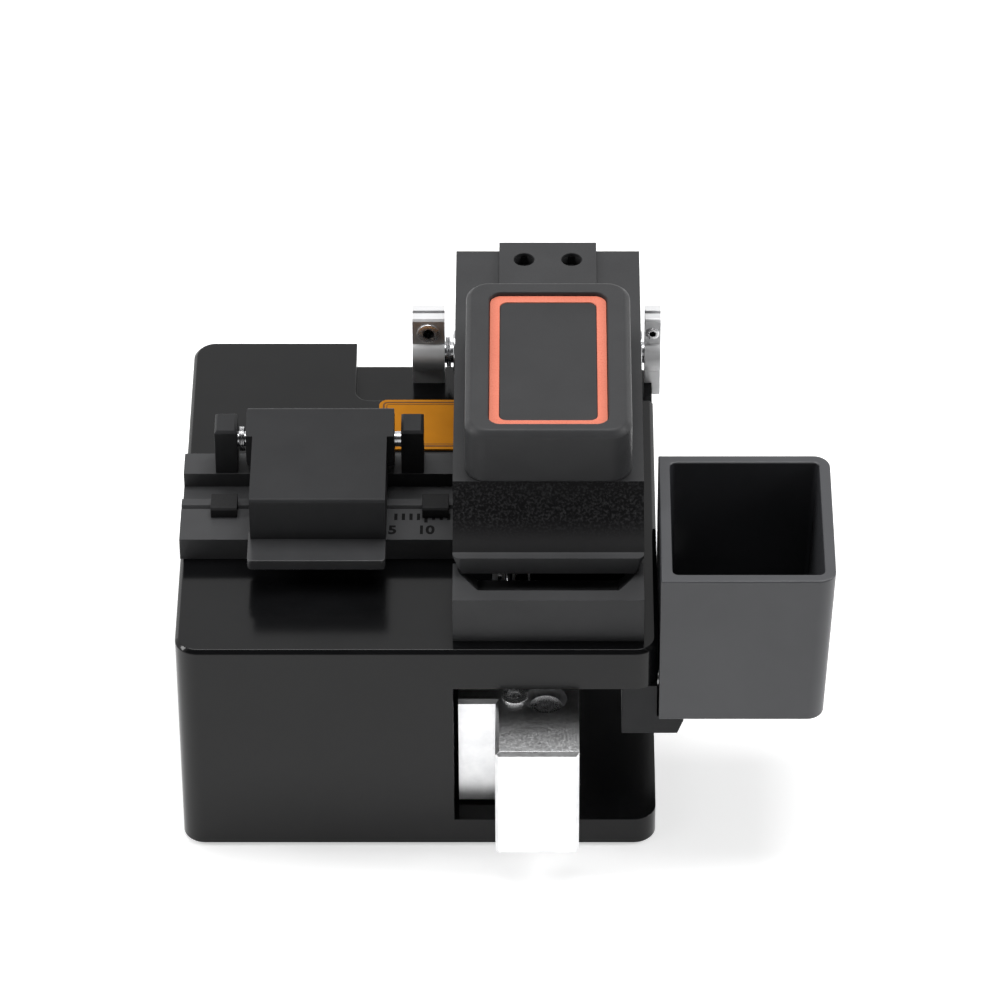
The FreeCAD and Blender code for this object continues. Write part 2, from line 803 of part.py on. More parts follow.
def cap_plate():
    """Plain dark plate inside the coloured frame."""
    x0, x1, y0, y1 = ring_box()
    low = cap_top - label_pocket
    band = ring_band + 0.05
    high = low + plate_thickness
    return rounded_box(x0 + band, x1 - band, y0 + band, y1 - band, low, high, ring_corner - 0.65)


def back_hole_places():
    """The two screw holes at the lever's rear."""
    y = lever_back - back_hole_setback
    half = back_hole_spacing / 2
    return [(lever_mid - half, y), (lever_mid + half, y)]


def back_plate():
    """Raised stop plate at the lever's rear."""
    half = back_plate_width / 2
    y1 = lever_back + back_plate_overhang
    high = lever_top + back_plate_rise
    plate = box(lever_mid - half, lever_mid + half, cap_back + 0.2, y1, lever_top, high)
    for x, y in back_hole_places():
        plate = plate.cut(peg("z", back_hole_r, (x, y), lever_top - 1, lever_top + 2))
    return plate


def back_screws():
    """Deep-set screws of the stop plate."""
    seat = lever_top - back_screw_depth
    return group([
        cap_screw("z", place, seat, back_screw_length, 1, head_r=back_hole_r - 0.1, head=back_screw_head)
        for place in back_hole_places()
    ])


def hinge_bush(face, way):
    """Flanged bush in the lever; way is +1 when its flange points to +X."""
    inner = face - way * bush_length
    flange = face + way * bush_flange
    bush = peg("x", bush_r, (axis_y, axis_z), min(inner, face), max(inner, face), 24)
    bush = bush.fuse(peg("x", bush_flange_r, (axis_y, axis_z), min(face, flange), max(face, flange), 24))
    low = min(inner, flange) - 1
    high = low + bush_length + bush_flange + 2
    return bush.cut(rod("x", shaft_r + run_gap, (axis_y, axis_z), low, high)).removeSplitter()


def upper_clamp_spans():
    """Where the lever's pad holders lie along X, over the lower pads."""
    return {"left": lower_pad_span("left"), "right": lower_pad_span("right")}


def upper_clamp(side):
    """Steel holder of one rubber pad, on the lever's underside."""
    x0, x1 = upper_clamp_spans()[side]
    y0 = fibre_y - lower_pad_length / 2 - 0.8
    y1 = fibre_y + lower_pad_length / 2 + 0.8
    margin = 0.35
    holder = box(x0 - margin, x1 + margin, y0, y1, lever_under - upper_clamp_height, lever_under)
    pad_space = box(x0, x1, y0 + 0.8, y1 - 0.8, lever_under - 2, lever_under - upper_clamp_height + 0.5)
    return holder.cut(pad_space)


def upper_pad(side):
    """Rubber pad that presses the fibre on the lower pad."""
    x0, x1 = upper_clamp_spans()[side]
    half = lower_pad_length / 2 - fit_gap
    top = lever_under - upper_clamp_height + 0.5
    return box(x0 + fit_gap, x1 - fit_gap, fibre_y - half, fibre_y + half, bed_top + pad_air, top)


def anvil():
    """Spring-loaded plunger that bends the scored fibre until it breaks."""
    low = bed_top + anvil_air
    shoulder = lever_under + anvil_shoulder
    stem = rod("z", anvil_r, (blade_x, fibre_y), low + 0.8, shoulder + 0.1)
    tip = Part.makeCone(0.7, anvil_r, 0.8, V(blade_x, fibre_y, low), V(0, 0, 1))
    collar = peg("z", anvil_collar_r, (blade_x, fibre_y), shoulder, shoulder + anvil_collar)
    return stem.fuse(tip).fuse(collar).removeSplitter()


def anvil_spring():
    """Compression spring between the anvil's collar and the cap."""
    low = lever_under + anvil_shoulder + anvil_collar
    mean_r = anvil_collar_r - spring_wire / 2 - 0.1
    return spring_sleeve("z", (blade_x, fibre_y), low, lever_top, mean_r, spring_wire)


# ---------------------------------------------------------------- clamp blocks and thumb block
def clamp_outline():
    """The clamp blocks' (y, z) outline: chamfered bar with the fibre groove."""
    y1 = clamp_front + clamp_length
    half = groove_width / 2
    return [
        (clamp_front, deck), (clamp_front, bed_top - 0.5), (clamp_front + 0.5, bed_top),
        (fibre_y - half, bed_top), (fibre_y, bed_top - groove_depth), (fibre_y + half, bed_top),
        (y1 - 0.5, bed_top), (y1, bed_top - 0.5), (y1, deck),
    ]


def lower_pad_span(side):
    """Where a lower pad lies along X."""
    if side == "left":
        x1 = slot_left - 0.35
        return x1 - lower_pad_width, x1
    x0 = clamp_right_left + 0.35
    return x0, x0 + lower_pad_width


def clamp_block(side):
    """Steel block beside the blade's slot with a seat for one rubber pad."""
    if side == "left":
        x0, x1 = bed_right, slot_left - 0.05
    else:
        x0, x1 = clamp_right_left, clamp_right_right
    block = along_x(clamp_outline(), x0, x1)
    px0, px1 = lower_pad_span(side)
    half = lower_pad_length / 2
    block = block.cut(box(px0, px1, fibre_y - half, fibre_y + half, bed_top - lower_pad_depth, bed_top + 1))
    if side == "right":
        for x, y in clamp_block_screw_places():
            block = block.cut(peg("z", m2_r + fit_gap, (x, y), deck - 1, bed_top + 1))
        seat = bed_top - magnet_thickness
        block = block.cut(peg("z", clamp_magnet_r + fit_gap, clamp_magnet_place(), seat, bed_top + 1))
    return block


def lower_pad(side):
    """Rubber pad flush with the clamp block's top."""
    x0, x1 = lower_pad_span(side)
    half = lower_pad_length / 2 - fit_gap
    low = bed_top - lower_pad_depth
    return box(x0 + fit_gap, x1 - fit_gap, fibre_y - half, fibre_y + half, low, bed_top)


def thumb_block():
    """Block under the lever's lip with a scoop for the fingertip."""
    block = box(lever_left, lever_right, thumb_front, thumb_back, deck, thumb_top)
    centre_y = thumb_front + thumb_land + math.sqrt(scoop_r ** 2 - scoop_up ** 2)
    centre_z = thumb_top + scoop_up
    x0 = lever_left + scoop_cheek
    x1 = lever_right - scoop_cheek
    small = scoop_up + 0.2
    half = [(x0, 0), (x0, small), (x0 + scoop_taper, scoop_r)]
    other = [(x0 + x1 - x, r) for x, r in reversed(half)]
    outline = [V(x, centre_y, centre_z + r) for x, r in half + other]
    profile = Part.Face(Part.makePolygon(outline + outline[:1]))
    scoop = profile.revolve(V(0, centre_y, centre_z), V(1, 0, 0), 360)
    return block.cut(scoop)


# ---------------------------------------------------------------- slider and blade
def linear_rail():
    """Miniature rail with waisted flanks."""
    half = rail_width / 2
    low = channel_floor
    top = rail_top
    waist = half - 0.5
    side = [
        (half, low), (half, low + 1.4), (waist, low + 1.9),
        (waist, low + 2.4), (half, low + 2.9), (half, top),
    ]
    outline = [(rail_x + x, z) for x, z in side] + [(rail_x - x, z) for x, z in reversed(side)]
    rail = along_y(outline, rail_front, rail_back)
    for y in rail_screw_places():
        rail = rail.cut(peg("z", m2_r + fit_gap, (rail_x, y), low - 1, top + 1))
        rail = rail.cut(peg("z", m2_head_r, (rail_x, y), top - rail_head_depth, top + 1))
    return rail


def rail_screws():
    """Screws sunk in the rail."""
    seat = rail_top - rail_head_depth
    head = rail_head_depth - head_cover
    return group([
        cap_screw("z", (rail_x, y), seat, rail_screw_length, 1, head_r=m2_head_r - 0.1, head=head)
        for y in rail_screw_places()
    ])


def rail_carriage():
    """Carriage astride the rail."""
    half = carriage_width / 2
    body = box(rail_x - half, rail_x + half, carriage_front, carriage_back, carriage_bottom, carriage_top)
    inner = rail_width / 2 + guide_gap
    body = body.cut(box(rail_x - inner, rail_x + inner, carriage_front - 1, carriage_back + 1,
                        carriage_bottom - 1, rail_top + guide_gap))
    for x, y in carriage_screw_places():
        body = body.cut(peg("z", m2_r + fit_gap, (x, y), rail_top + 0.3, carriage_top + 1))
    return body


def carriage_screw_places():
    """Four screws join the slider block to the carriage."""
    return [
        (rail_x + sx * carriage_screw_side, y) for sx in (-1, 1)
        for y in (carriage_front + carriage_screw_inset, carriage_back - carriage_screw_inset)
    ]


def nose_hole_places():
    """The set screw and the deep counterbore on the nose."""
    y = slider_front + 0.5
    return {"set": (nose_left + 2.55, y + 0.2), "bore": (nose_left + 6.65, y)}


def slider_block():
    """Block on the carriage: wide body behind, push nose in front."""
    body = box(slider_left, slider_right, slider_front, slider_back, slider_bottom, slider_top)
    nose = box(nose_left, slider_right, nose_front, slider_front + 1, slider_bottom, slider_top)
    body = body.fuse(nose).removeSplitter()
    rim = edges_where(body, lambda bb: level(bb, slider_top) and bb.YMax < slider_front + 0.01)
    body = body.makeChamfer(nose_edge, rim)
    corners = edges_where(body, lambda bb: upright(bb) and bb.YMin < nose_front + nose_edge + 0.1)
    body = body.makeChamfer(nose_edge * 0.8, corners)
    hollow = box(nose_left, slider_right - nose_side_wall, nose_front + nose_skirt, carriage_front,
                 slider_bottom - 1, rail_top + rail_groove_gap)
    body = body.cut(hollow)
    seat = box(slider_left - 1, slider_right + 1, carriage_front - air, slider_back + 1,
               slider_bottom - 1, carriage_top)
    body = body.cut(seat)
    for x, y in carriage_screw_places():
        body = body.cut(peg("z", m2_r + fit_gap, (x, y), carriage_top - 1, slider_top + 1))
        seat = slider_top - carriage_screw_depth
        body = body.cut(peg("z", m2_head_r + 0.1, (x, y), seat, slider_top + 1))
    x, y = nose_hole_places()["bore"]
    body = body.cut(rod("z", counterbore_r, (x, y), slider_top - counterbore_depth, slider_top + 1))
    low = slider_top - counterbore_depth - nose_screw_length - 0.5
    body = body.cut(peg("z", nose_screw_r + fit_gap, (x, y), low, slider_top))
    x, y = nose_hole_places()["set"]
    low = slider_top - set_screw_depth - 0.5
    body = body.cut(peg("z", set_screw_r + fit_gap, (x, y), low, slider_top + 1))
    relief_half = math.sqrt(blade_r ** 2 - (blade_z - slider_top) ** 2) + 1.0
    body = body.cut(box(blade_x - 0.9, holder_left() - 0.1, blade_y - relief_half, blade_y + relief_half,
                        slider_top - 1.4, slider_top + 1))
    pin_x, pin_y = stop_pin_place()
    half = stop_pin_r + air
    body = body.cut(box(pin_x - half, pin_x + half, slider_front + stop_groove_setback, pin_y + half,
                        slider_top - stop_groove_depth, slider_top + 1))
    for x, y in holder_screw_places():
        body = body.cut(peg("z", m2_r + fit_gap, (x, y), slider_top - holder_screw_grip - 1, slider_top + 1))
    return body


def carriage_screws():
    """Screws sunk in the slider block, over the carriage."""
    seat = slider_top - carriage_screw_depth
    length = seat - carriage_top + carriage_screw_grip
    return group([cap_screw("z", place, seat, length, 1) for place in carriage_screw_places()])


def nose_screw():
    """Socket screw at the bottom of the nose's counterbore."""
    seat = slider_top - counterbore_depth
    return cap_screw("z", nose_hole_places()["bore"], seat, nose_screw_length, 1,
                     r=nose_screw_r, head_r=nose_screw_head_r, head=small_head)


def blade_set_screw():
    """Height screw beside the counterbore, with a domed head."""
    x, y = nose_hole_places()["set"]
    stem = peg("z", set_screw_r, (x, y), slider_top - set_screw_depth, slider_top)
    foot = V(x, y, slider_top)
    head = Part.makeCone(set_screw_head_r, set_screw_r - 0.1, set_screw_head, foot, V(0, 0, 1))
    return stem.fuse(head)


def stop_pin():
    """Pin in the deck's underside that ends the slider's travel."""
    return peg("z", stop_pin_r, stop_pin_place(), slider_top - stop_groove_depth + 0.4, deck_under + 3.4)


def holder_left():
    """The left face of the blade holder's upright wall."""
    return blade_x + blade_thickness / 2 + holder_gap


def holder_screw_places():
    """Screws of the blade holder's foot."""
    x = holder_left() + holder_foot_width - holder_screw_inset
    half = holder_screw_spacing / 2
    return [(x, blade_y - half), (x, blade_y + half)]


def blade_holder():
    """Angle bracket: foot on the slider, rounded wall behind the blade."""
    x0 = holder_left()
    half = holder_foot_length / 2
    x1 = x0 + holder_foot_width
    foot = box(x0, x1, blade_y - half, blade_y + half, slider_top, slider_top + holder_foot)
    wall = box(x0, x0 + holder_wall, blade_y - holder_r, blade_y + holder_r, slider_top, blade_z)
    top = rod("x", holder_r, (blade_y, blade_z), x0, x0 + holder_wall)
    holder = foot.fuse(wall).fuse(top).removeSplitter()
    holder = holder.cut(peg("x", hub_r * 0.75 + fit_gap, (blade_y, blade_z), x0 - 1, x0 + holder_wall + 1))
    for x, y in holder_screw_places():
        holder = holder.cut(peg("z", m2_r + fit_gap, (x, y), slider_top - 1, slider_top + holder_foot + 1))
    return holder


def holder_screws():
    """Screws of the blade holder."""
    seat = slider_top + holder_foot
    length = holder_foot + holder_screw_grip
    return group([
        cap_screw("z", place, seat, length, 1, head_r=small_head_r, head=small_head)
        for place in holder_screw_places()
    ])


def blade_shaft():
    """Stepped pin that carries the blade: journal, shoulder and stub in the holder."""
    start = blade_x - blade_thickness / 2 - 0.06
    shoulder = holder_left()
    centre = (blade_y, blade_z)
    pin = rod("x", hub_r, centre, start, shoulder)
    return pin.fuse(peg("x", hub_r * 0.75, centre, shoulder - 0.1, shoulder + holder_wall)).removeSplitter()


def blade():
    """Hard-metal disc with a bevelled cutting edge."""
    half = blade_thickness / 2
    bore = blade_z + hub_r + run_gap
    outline = [
        V(blade_x - half, blade_y, bore), V(blade_x - half, blade_y, blade_z + blade_r - blade_bevel),
        V(blade_x, blade_y, blade_z + blade_r),
        V(blade_x + half, blade_y, blade_z + blade_r - blade_bevel), V(blade_x + half, blade_y, bore),
    ]
    profile = Part.Face(Part.makePolygon(outline + outline[:1]))
    return profile.revolve(V(0, blade_y, blade_z), V(1, 0, 0), 360)


def blade_screw():
    """Flat-headed screw that holds the blade on its pin."""
    start = blade_x - blade_thickness / 2 - 0.06
    return peg("x", hub_r + 0.8, (blade_y, blade_z), start - 0.9, start, 24)


# ---------------------------------------------------------------- hinge
def hinge_bracket(x0, width, hooked):
    """Split clamp that grips the shaft, with its screw tab above."""
    x1 = x0 + width
    y0 = axis_y - bracket_foot_front
    foot = box(x0, x1, y0, back - 0.1, pocket_floor, axis_z)
    barrel = rod("x", bracket_barrel_r, (axis_y, axis_z), x0, x1)
    tab = box(x0, x1, bracket_front, bracket_front + bracket_tab_depth, axis_z, bracket_tab_top)
    tab = tab.makeChamfer(0.3, edges_where(tab, lambda bb: level(bb, bracket_tab_top) and bb.XLength > 0.5))
    body = foot.fuse(barrel).fuse(tab)
    if hooked:
        hook = box(right + 0.05, x1, y0, back - 0.1, pocket_floor - bracket_hook, pocket_floor + 0.1)
        body = body.fuse(hook)
    body = body.removeSplitter()
    body = body.cut(rod("x", shaft_r + fit_gap, (axis_y, axis_z), x0 - 1, x1 + 1))
    slit = axis_y + bracket_slit_setback
    half = bracket_slit / 2
    body = body.cut(box(x0 - 1, x1 + 1, slit - half, slit + half, axis_z, bracket_tab_top + 1))
    middle = ((x0 + x1) / 2, bracket_screw_z)
    end = bracket_front + bracket_tab_depth + 1
    body = body.cut(peg("y", clamp_screw_r(width) + fit_gap, middle, bracket_front - 1, end))
    body = body.cut(peg("y", clamp_head_r(width) + fit_gap, middle,
                         bracket_front - 1, bracket_front + bracket_head_depth))
    return body


def clamp_screw_r(width):
    """The clamp screw's thread fits the tab's width."""
    return min(0.9, width * 0.25)


def clamp_head_r(width):
    """The clamp screw's head fits the tab's width."""
    return min(bracket_screw_head_r, width * 0.42)


def clamp_screws():
    """The clamp screws of both brackets."""
    screws = []
    for x0, width in ((bracket_left_x, bracket_left_width), (bracket_right_x, bracket_right_width)):
        centre = (x0 + width / 2, bracket_screw_z)
        seat = bracket_front + bracket_head_depth
        length = bracket_tab_depth - bracket_head_depth - head_cover
        screws.append(cap_screw("y", centre, seat, length, -1,
                                r=clamp_screw_r(width), head_r=clamp_head_r(width), head=bracket_head))
    return group(screws)


def hinge_shaft():
    """Shaft gripped by both brackets."""
    return rod("x", shaft_r, (axis_y, axis_z), bracket_left_x, bracket_right_x + bracket_right_width)


def hinge_spring():
    """Torsion spring between the left bracket and the lever."""
    start = bracket_left_x + bracket_left_width + 0.1
    end = lever_left - bush_flange - air
    return spring_sleeve("x", (axis_y, axis_z), start, end, shaft_r + spring_air, torsion_wire)


# ---------------------------------------------------------------- scrap bin
def scrap_bin():
    """Open box: the side at the base is upright, the outer side leans in towards the floor."""
    def hull(inset, low, r_left, r_right):
        x0 = bin_left + inset
        x1 = bin_left + bin_width - inset
        lean = bin_draft * (bin_top - low) / bin_height
        shape = along_y([(x0, low), (x0, bin_top), (x1, bin_top), (x1 - lean, low)],
                        front + inset, bin_back - inset)
        for r, left_side in ((r_left, True), (r_right, False)):
            if r > 0:
                corners = edges_where(shape, lambda bb: bb.ZLength > bin_height / 2 and
                                      (bb.XMax < bin_left + bin_width / 2) == left_side)
                shape = shape.makeFillet(r, corners)
        return shape
    outer = hull(0, bin_bottom, 0, bin_corner)
    inner = hull(bin_wall, bin_bottom + bin_wall, bin_inner_corner, bin_corner - bin_wall + 0.3)
    body = outer.cut(inner)
    for place in bin_screw_places():
        body = body.cut(peg("x", m2_r + fit_gap, place, bin_left - 1, bin_left + bin_wall + 1))
    return body


def bin_screw_places():
    """The two screws that hold the bin's upright side to the arm's leg."""
    y0 = front + bin_arm_setback
    z = bin_bottom + bin_wall + bin_screw_rise
    return [(y0 + bin_screw_inset, z), (y0 + bin_arm_length - bin_screw_inset, z)]


def bin_bracket():
    """L-shaped arm from the deck's underside to below the bin."""
    x0 = right - bin_arm_width
    x1 = right + bin_arm_reach
    low = bin_bottom - bin_arm_thickness
    outline = [
        (x0, low), (x0, deck_under), (right - 0.1, deck_under), (right - 0.1, bin_bottom),
        (x1, bin_bottom), (x1, bin_bottom - 0.8), (x1 - bin_arm_tip, low),
    ]
    y0 = front + bin_arm_setback
    arm = along_y(outline, y0, y0 + bin_arm_length)
    for x, y in bin_arm_screw_places():
        arm = arm.cut(peg("z", m2_r + fit_gap, (x, y), low - 1, deck_under + 1))
        arm = arm.cut(peg("z", m2_head_r + 0.05, (x, y), low - 1, low + m2_head + 0.1))
    for place in bin_screw_places():
        end = bin_left + bin_wall - bin_screw_length()
        arm = arm.cut(peg("x", m2_r + fit_gap, place, end - 0.3, right))
    return arm


def bin_arm_screw_places():
    """Screws that hold the arm to the deck."""
    x = right - bin_arm_width / 2
    y0 = front + bin_arm_setback
    return [(x, y0 + bin_arm_screw_inset), (x, y0 + bin_arm_length - bin_arm_screw_inset)]


def bin_arm_screws():
    """Long screws up through the arm into the deck."""
    seat = bin_bottom - bin_arm_thickness + m2_head + 0.1
    length = deck_under - seat + bin_arm_screw_grip
    return group([cap_screw("z", place, seat, length, -1) for place in bin_arm_screw_places()])


def bin_screw_length():
    """From the wall's inner face into the arm's leg."""
    return bin_wall + bin_gap + bin_screw_grip


def bin_screws():
    """Screws through the bin's upright side into the arm."""
    seat = bin_left + bin_wall
    return group([
        cap_screw("x", place, seat, bin_screw_length(), 1, head_r=small_head_r, head=small_head)
        for place in bin_screw_places()
    ])


def clamp_block_screws():
    """Screws up through the deck into the right clamp block."""
    seat = deck_under
    length = deck_thickness + clamp_screw_grip
    return group([
        cap_screw("z", place, seat, length, -1, head=small_head) for place in clamp_block_screw_places()
    ])


def bracket_foot_screw():
    """Screw in the left bracket's foot, below the shaft."""
    x = bracket_left_x + bracket_left_width / 2
    place = (x, bracket_foot_screw_y())
    return peg("z", m2_r, place, pocket_floor - foot_screw_length, pocket_floor - fit_gap)


PIECES = {
    "base_body": base_body,
    "base_pad": base_pad,
    "fibre_bed": fibre_bed,
    "bed_magnet": bed_magnet,
    "bed_screws": bed_screws,
    "fibre_guide_left": lambda: fibre_guide(left + guide_left_offset),
    "fibre_guide_right": lambda: fibre_guide(bed_right - guide_right_inset),
    "lid_ear_left": lambda: lid_ear(ear_left_right_face - ear_width),
    "lid_ear_right": lambda: lid_ear(ear_right_left_face),
    "lid_pin": lid_pin,
    "notice_plate": notice_plate,
    "thumb_block": thumb_block,
    "clamp_block_left": lambda: clamp_block("left"),
    "clamp_block_right": lambda: clamp_block("right"),
    "clamp_block_screws": clamp_block_screws,
    "clamp_magnet": clamp_magnet,
    "lower_pads": lambda: group([lower_pad("left"), lower_pad("right")]),
    "hinge_bracket_left": lambda: hinge_bracket(bracket_left_x, bracket_left_width, False),
    "bracket_foot_screw": bracket_foot_screw,
    "hinge_bracket_right": lambda: hinge_bracket(bracket_right_x, bracket_right_width, True),
    "clamp_screws": clamp_screws,
    "hinge_shaft": hinge_shaft,
    "hinge_spring": hinge_spring,
    "linear_rail": linear_rail,
    "rail_screws": rail_screws,
    "stop_pin": stop_pin,
    "bin_bracket": bin_bracket,
    "bin_arm_screws": bin_arm_screws,
    "scrap_bin": scrap_bin,
    "bin_screws": bin_screws,
    "rail_carriage": rail_carriage,
    "slider_block": slider_block,
    "carriage_screws": carriage_screws,
    "nose_screw": nose_screw,
    "blade_set_screw": blade_set_screw,
    "blade_holder": blade_holder,
    "holder_screws": holder_screws,
    "blade_shaft": blade_shaft,
    "blade_screw": blade_screw,
    "blade": blade,
    "lever_arm": lever_arm,
    "lever_cap": lever_cap,
    "cap_screws": cap_screws,
    "cap_ring": cap_ring,
    "cap_plate": cap_plate,
    "back_plate": back_plate,
    "back_screws": back_screws,
    "hinge_bushes": lambda: group([hinge_bush(lever_left, -1), hinge_bush(lever_right, 1)]),
    "upper_clamp_left": lambda: upper_clamp("left"),
    "upper_clamp_right": lambda: upper_clamp("right"),
    "upper_pads": lambda: group([upper_pad("left"), upper_pad("right")]),
    "lever_magnet": lever_magnet,
    "anvil": anvil,
    "anvil_spring": anvil_spring,
    "lid": lid,
    "lid_tab": lid_tab,
    "lid_tab_screws": lid_tab_screws,
    "lid_pads": lid_pads,
    "lid_magnet": lid_magnet,
    "lid_spring": lid_spring,
}

os.makedirs("parts", exist_ok=True)
for name, make in PIECES.items():
    shape = make()
    shape.exportStep(f"parts/{name}.step")
    print(name, len(shape.Solids), round(shape.Volume, 2), shape.isValid())
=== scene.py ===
# %% [markdown]
# # Dressing a fibre cleaver
# The cleaver's solid pieces come from a CAD frame at their real size. This notebook gives each of them
# its finish, adds what a CAD model leaves out (wound springs, screws with sockets, a moulded bin, an
# engraved scale), and sets up a plain studio to look at the result. Everything is in metres, in the same
# frame as the CAD model.

# %% Load the frame
import math

import bmesh
import bpy
from mathutils import Matrix, Vector


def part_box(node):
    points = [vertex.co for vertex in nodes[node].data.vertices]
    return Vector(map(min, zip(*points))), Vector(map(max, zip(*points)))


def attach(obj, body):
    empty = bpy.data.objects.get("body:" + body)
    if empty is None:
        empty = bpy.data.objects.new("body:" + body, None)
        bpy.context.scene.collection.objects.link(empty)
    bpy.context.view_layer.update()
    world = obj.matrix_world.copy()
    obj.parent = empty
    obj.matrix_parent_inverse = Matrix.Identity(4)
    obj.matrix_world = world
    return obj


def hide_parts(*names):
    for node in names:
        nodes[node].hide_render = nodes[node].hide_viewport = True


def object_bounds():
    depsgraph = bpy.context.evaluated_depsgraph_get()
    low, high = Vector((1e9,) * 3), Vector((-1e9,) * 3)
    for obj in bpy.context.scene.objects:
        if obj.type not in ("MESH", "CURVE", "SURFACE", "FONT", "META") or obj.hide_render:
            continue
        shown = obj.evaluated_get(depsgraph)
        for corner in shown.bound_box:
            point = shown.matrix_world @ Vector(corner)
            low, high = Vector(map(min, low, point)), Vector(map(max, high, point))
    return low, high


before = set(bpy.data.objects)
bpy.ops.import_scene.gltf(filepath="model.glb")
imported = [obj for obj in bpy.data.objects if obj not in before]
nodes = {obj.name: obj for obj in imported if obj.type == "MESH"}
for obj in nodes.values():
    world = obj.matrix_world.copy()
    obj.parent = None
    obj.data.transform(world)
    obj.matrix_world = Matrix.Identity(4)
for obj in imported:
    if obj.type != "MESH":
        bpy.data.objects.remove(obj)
cad_box = [list(corner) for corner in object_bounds()]
MM = 0.001

# %% [markdown]
# ## Node groups
# Three effects are shared by most finishes: a fine grain, a directional brushing and a slow drift of
# tone. Each is a node group that is fed by object coordinates, so the marks keep their real size on
# every piece.

# %% Node groups
DRIFT_MASK = (0.3, 0.7)
GRAIN_MASK = (0.35, 0.65)


def new_group(name, inputs, outputs):
    group = bpy.data.node_groups.new(name, "ShaderNodeTree")
    for label, kind, default in inputs:
        socket = group.interface.new_socket(label, in_out="INPUT", socket_type=kind)
        socket.default_value = default
    for label, kind in outputs:
        group.interface.new_socket(label, in_out="OUTPUT", socket_type=kind)
    return group, group.nodes.new("NodeGroupInput"), group.nodes.new("NodeGroupOutput")


def add(tree, kind, **values):
    """A node with its settings and socket values.

    set_NAME is a setting of the node, in_3 its fourth socket, and any other name a socket's own name.
    A socket's value may be an output of another node.
    """
    node = tree.nodes.new(kind)
    for label, value in values.items():
        if label.startswith("set_"):
            setattr(node, label.removeprefix("set_"), value)
            continue
        number = label.removeprefix("in_")
        socket = node.inputs[int(number) if number.isdigit() else label]
        if isinstance(value, bpy.types.NodeSocket):
            tree.links.new(value, socket)
        else:
            socket.default_value = value
    return node


def remap(tree, value, start, end, low=0.0, high=1.0, smooth=False):
    """Takes start to low and end to high, and stops there; smooth eases both ends."""
    node = add(tree, "ShaderNodeMapRange", Value=value)
    if smooth:
        node.interpolation_type = "SMOOTHSTEP"
    for label, number in (("From Min", start), ("From Max", end), ("To Min", low), ("To Max", high)):
        node.inputs[label].default_value = number
    return node.outputs["Result"]


def combine(tree, operation, first, second):
    """The result of a math node; each side is a number or an output of another node."""
    return add(tree, "ShaderNodeMath", set_operation=operation, in_0=first, in_1=second).outputs[0]


def bumped(group, target, noise, height):
    """Sends a noise node to a group's two outputs, as a mask and as a bumped normal."""
    bump = add(group, "ShaderNodeBump", Strength=1.0, Distance=height, Height=noise.outputs["Fac"])
    group.links.new(noise.outputs["Fac"], target.inputs["Mask"])
    group.links.new(bump.outputs["Normal"], target.inputs["Normal"])
    return group


def make_grain_group():
    """Speckle of a blasted or moulded surface: a mask from 0 to 1 and a bumped normal."""
    group, source, target = new_group(
        "grain",
        [("Scale", "NodeSocketFloat", 6000.0), ("Height", "NodeSocketFloat", 0.00001)],
        [("Mask", "NodeSocketFloat"), ("Normal", "NodeSocketVector")],
    )
    place = add(group, "ShaderNodeTexCoord")
    noise = add(group, "ShaderNodeTexNoise", Vector=place.outputs["Object"],
                Scale=source.outputs["Scale"], Detail=2.0, Roughness=0.6)
    return bumped(group, target, noise, source.outputs["Height"])


def make_brush_group():
    """Fine parallel tool marks: noise squeezed along the three axes by Squeeze."""
    group, source, target = new_group(
        "brush",
        [("Squeeze", "NodeSocketVector", (300.0, 9000.0, 9000.0)),
         ("Height", "NodeSocketFloat", 0.000004)],
        [("Mask", "NodeSocketFloat"), ("Normal", "NodeSocketVector")],
    )
    place = add(group, "ShaderNodeTexCoord")
    mapping = add(group, "ShaderNodeMapping", Vector=place.outputs["Object"],
                  Scale=source.outputs["Squeeze"])
    noise = add(group, "ShaderNodeTexNoise", Vector=mapping.outputs["Vector"], Scale=1.0, Detail=3.0,
                Roughness=0.65)
    return bumped(group, target, noise, source.outputs["Height"])


def make_drift_group():
    """Slow change between two colours over a few millimetres."""
    group, source, target = new_group(
        "drift",
        [("First", "NodeSocketColor", (0, 0, 0, 1)), ("Second", "NodeSocketColor", (1, 1, 1, 1)),
         ("Scale", "NodeSocketFloat", 160.0)],
        [("Color", "NodeSocketColor")],
    )
    place = add(group, "ShaderNodeTexCoord")
    noise = add(group, "ShaderNodeTexNoise", Vector=place.outputs["Object"],
                Scale=source.outputs["Scale"], Detail=3.0, Roughness=0.55)
    mix = add(group, "ShaderNodeMix", set_data_type="RGBA",
              in_0=remap(group, noise.outputs["Fac"], *DRIFT_MASK),
              in_6=source.outputs["First"], in_7=source.outputs["Second"])
    group.links.new(mix.outputs[2], target.inputs["Color"])
    return group


GRAIN = make_grain_group()
BRUSH = make_brush_group()
DRIFT = make_drift_group()

# %% [markdown]
# ## Finishes
# One function builds them all. A finish is a pair of close colours that drift into each other, a range
# of roughness that follows the grain or the tool marks, and a bump of real height. Colours are linear.

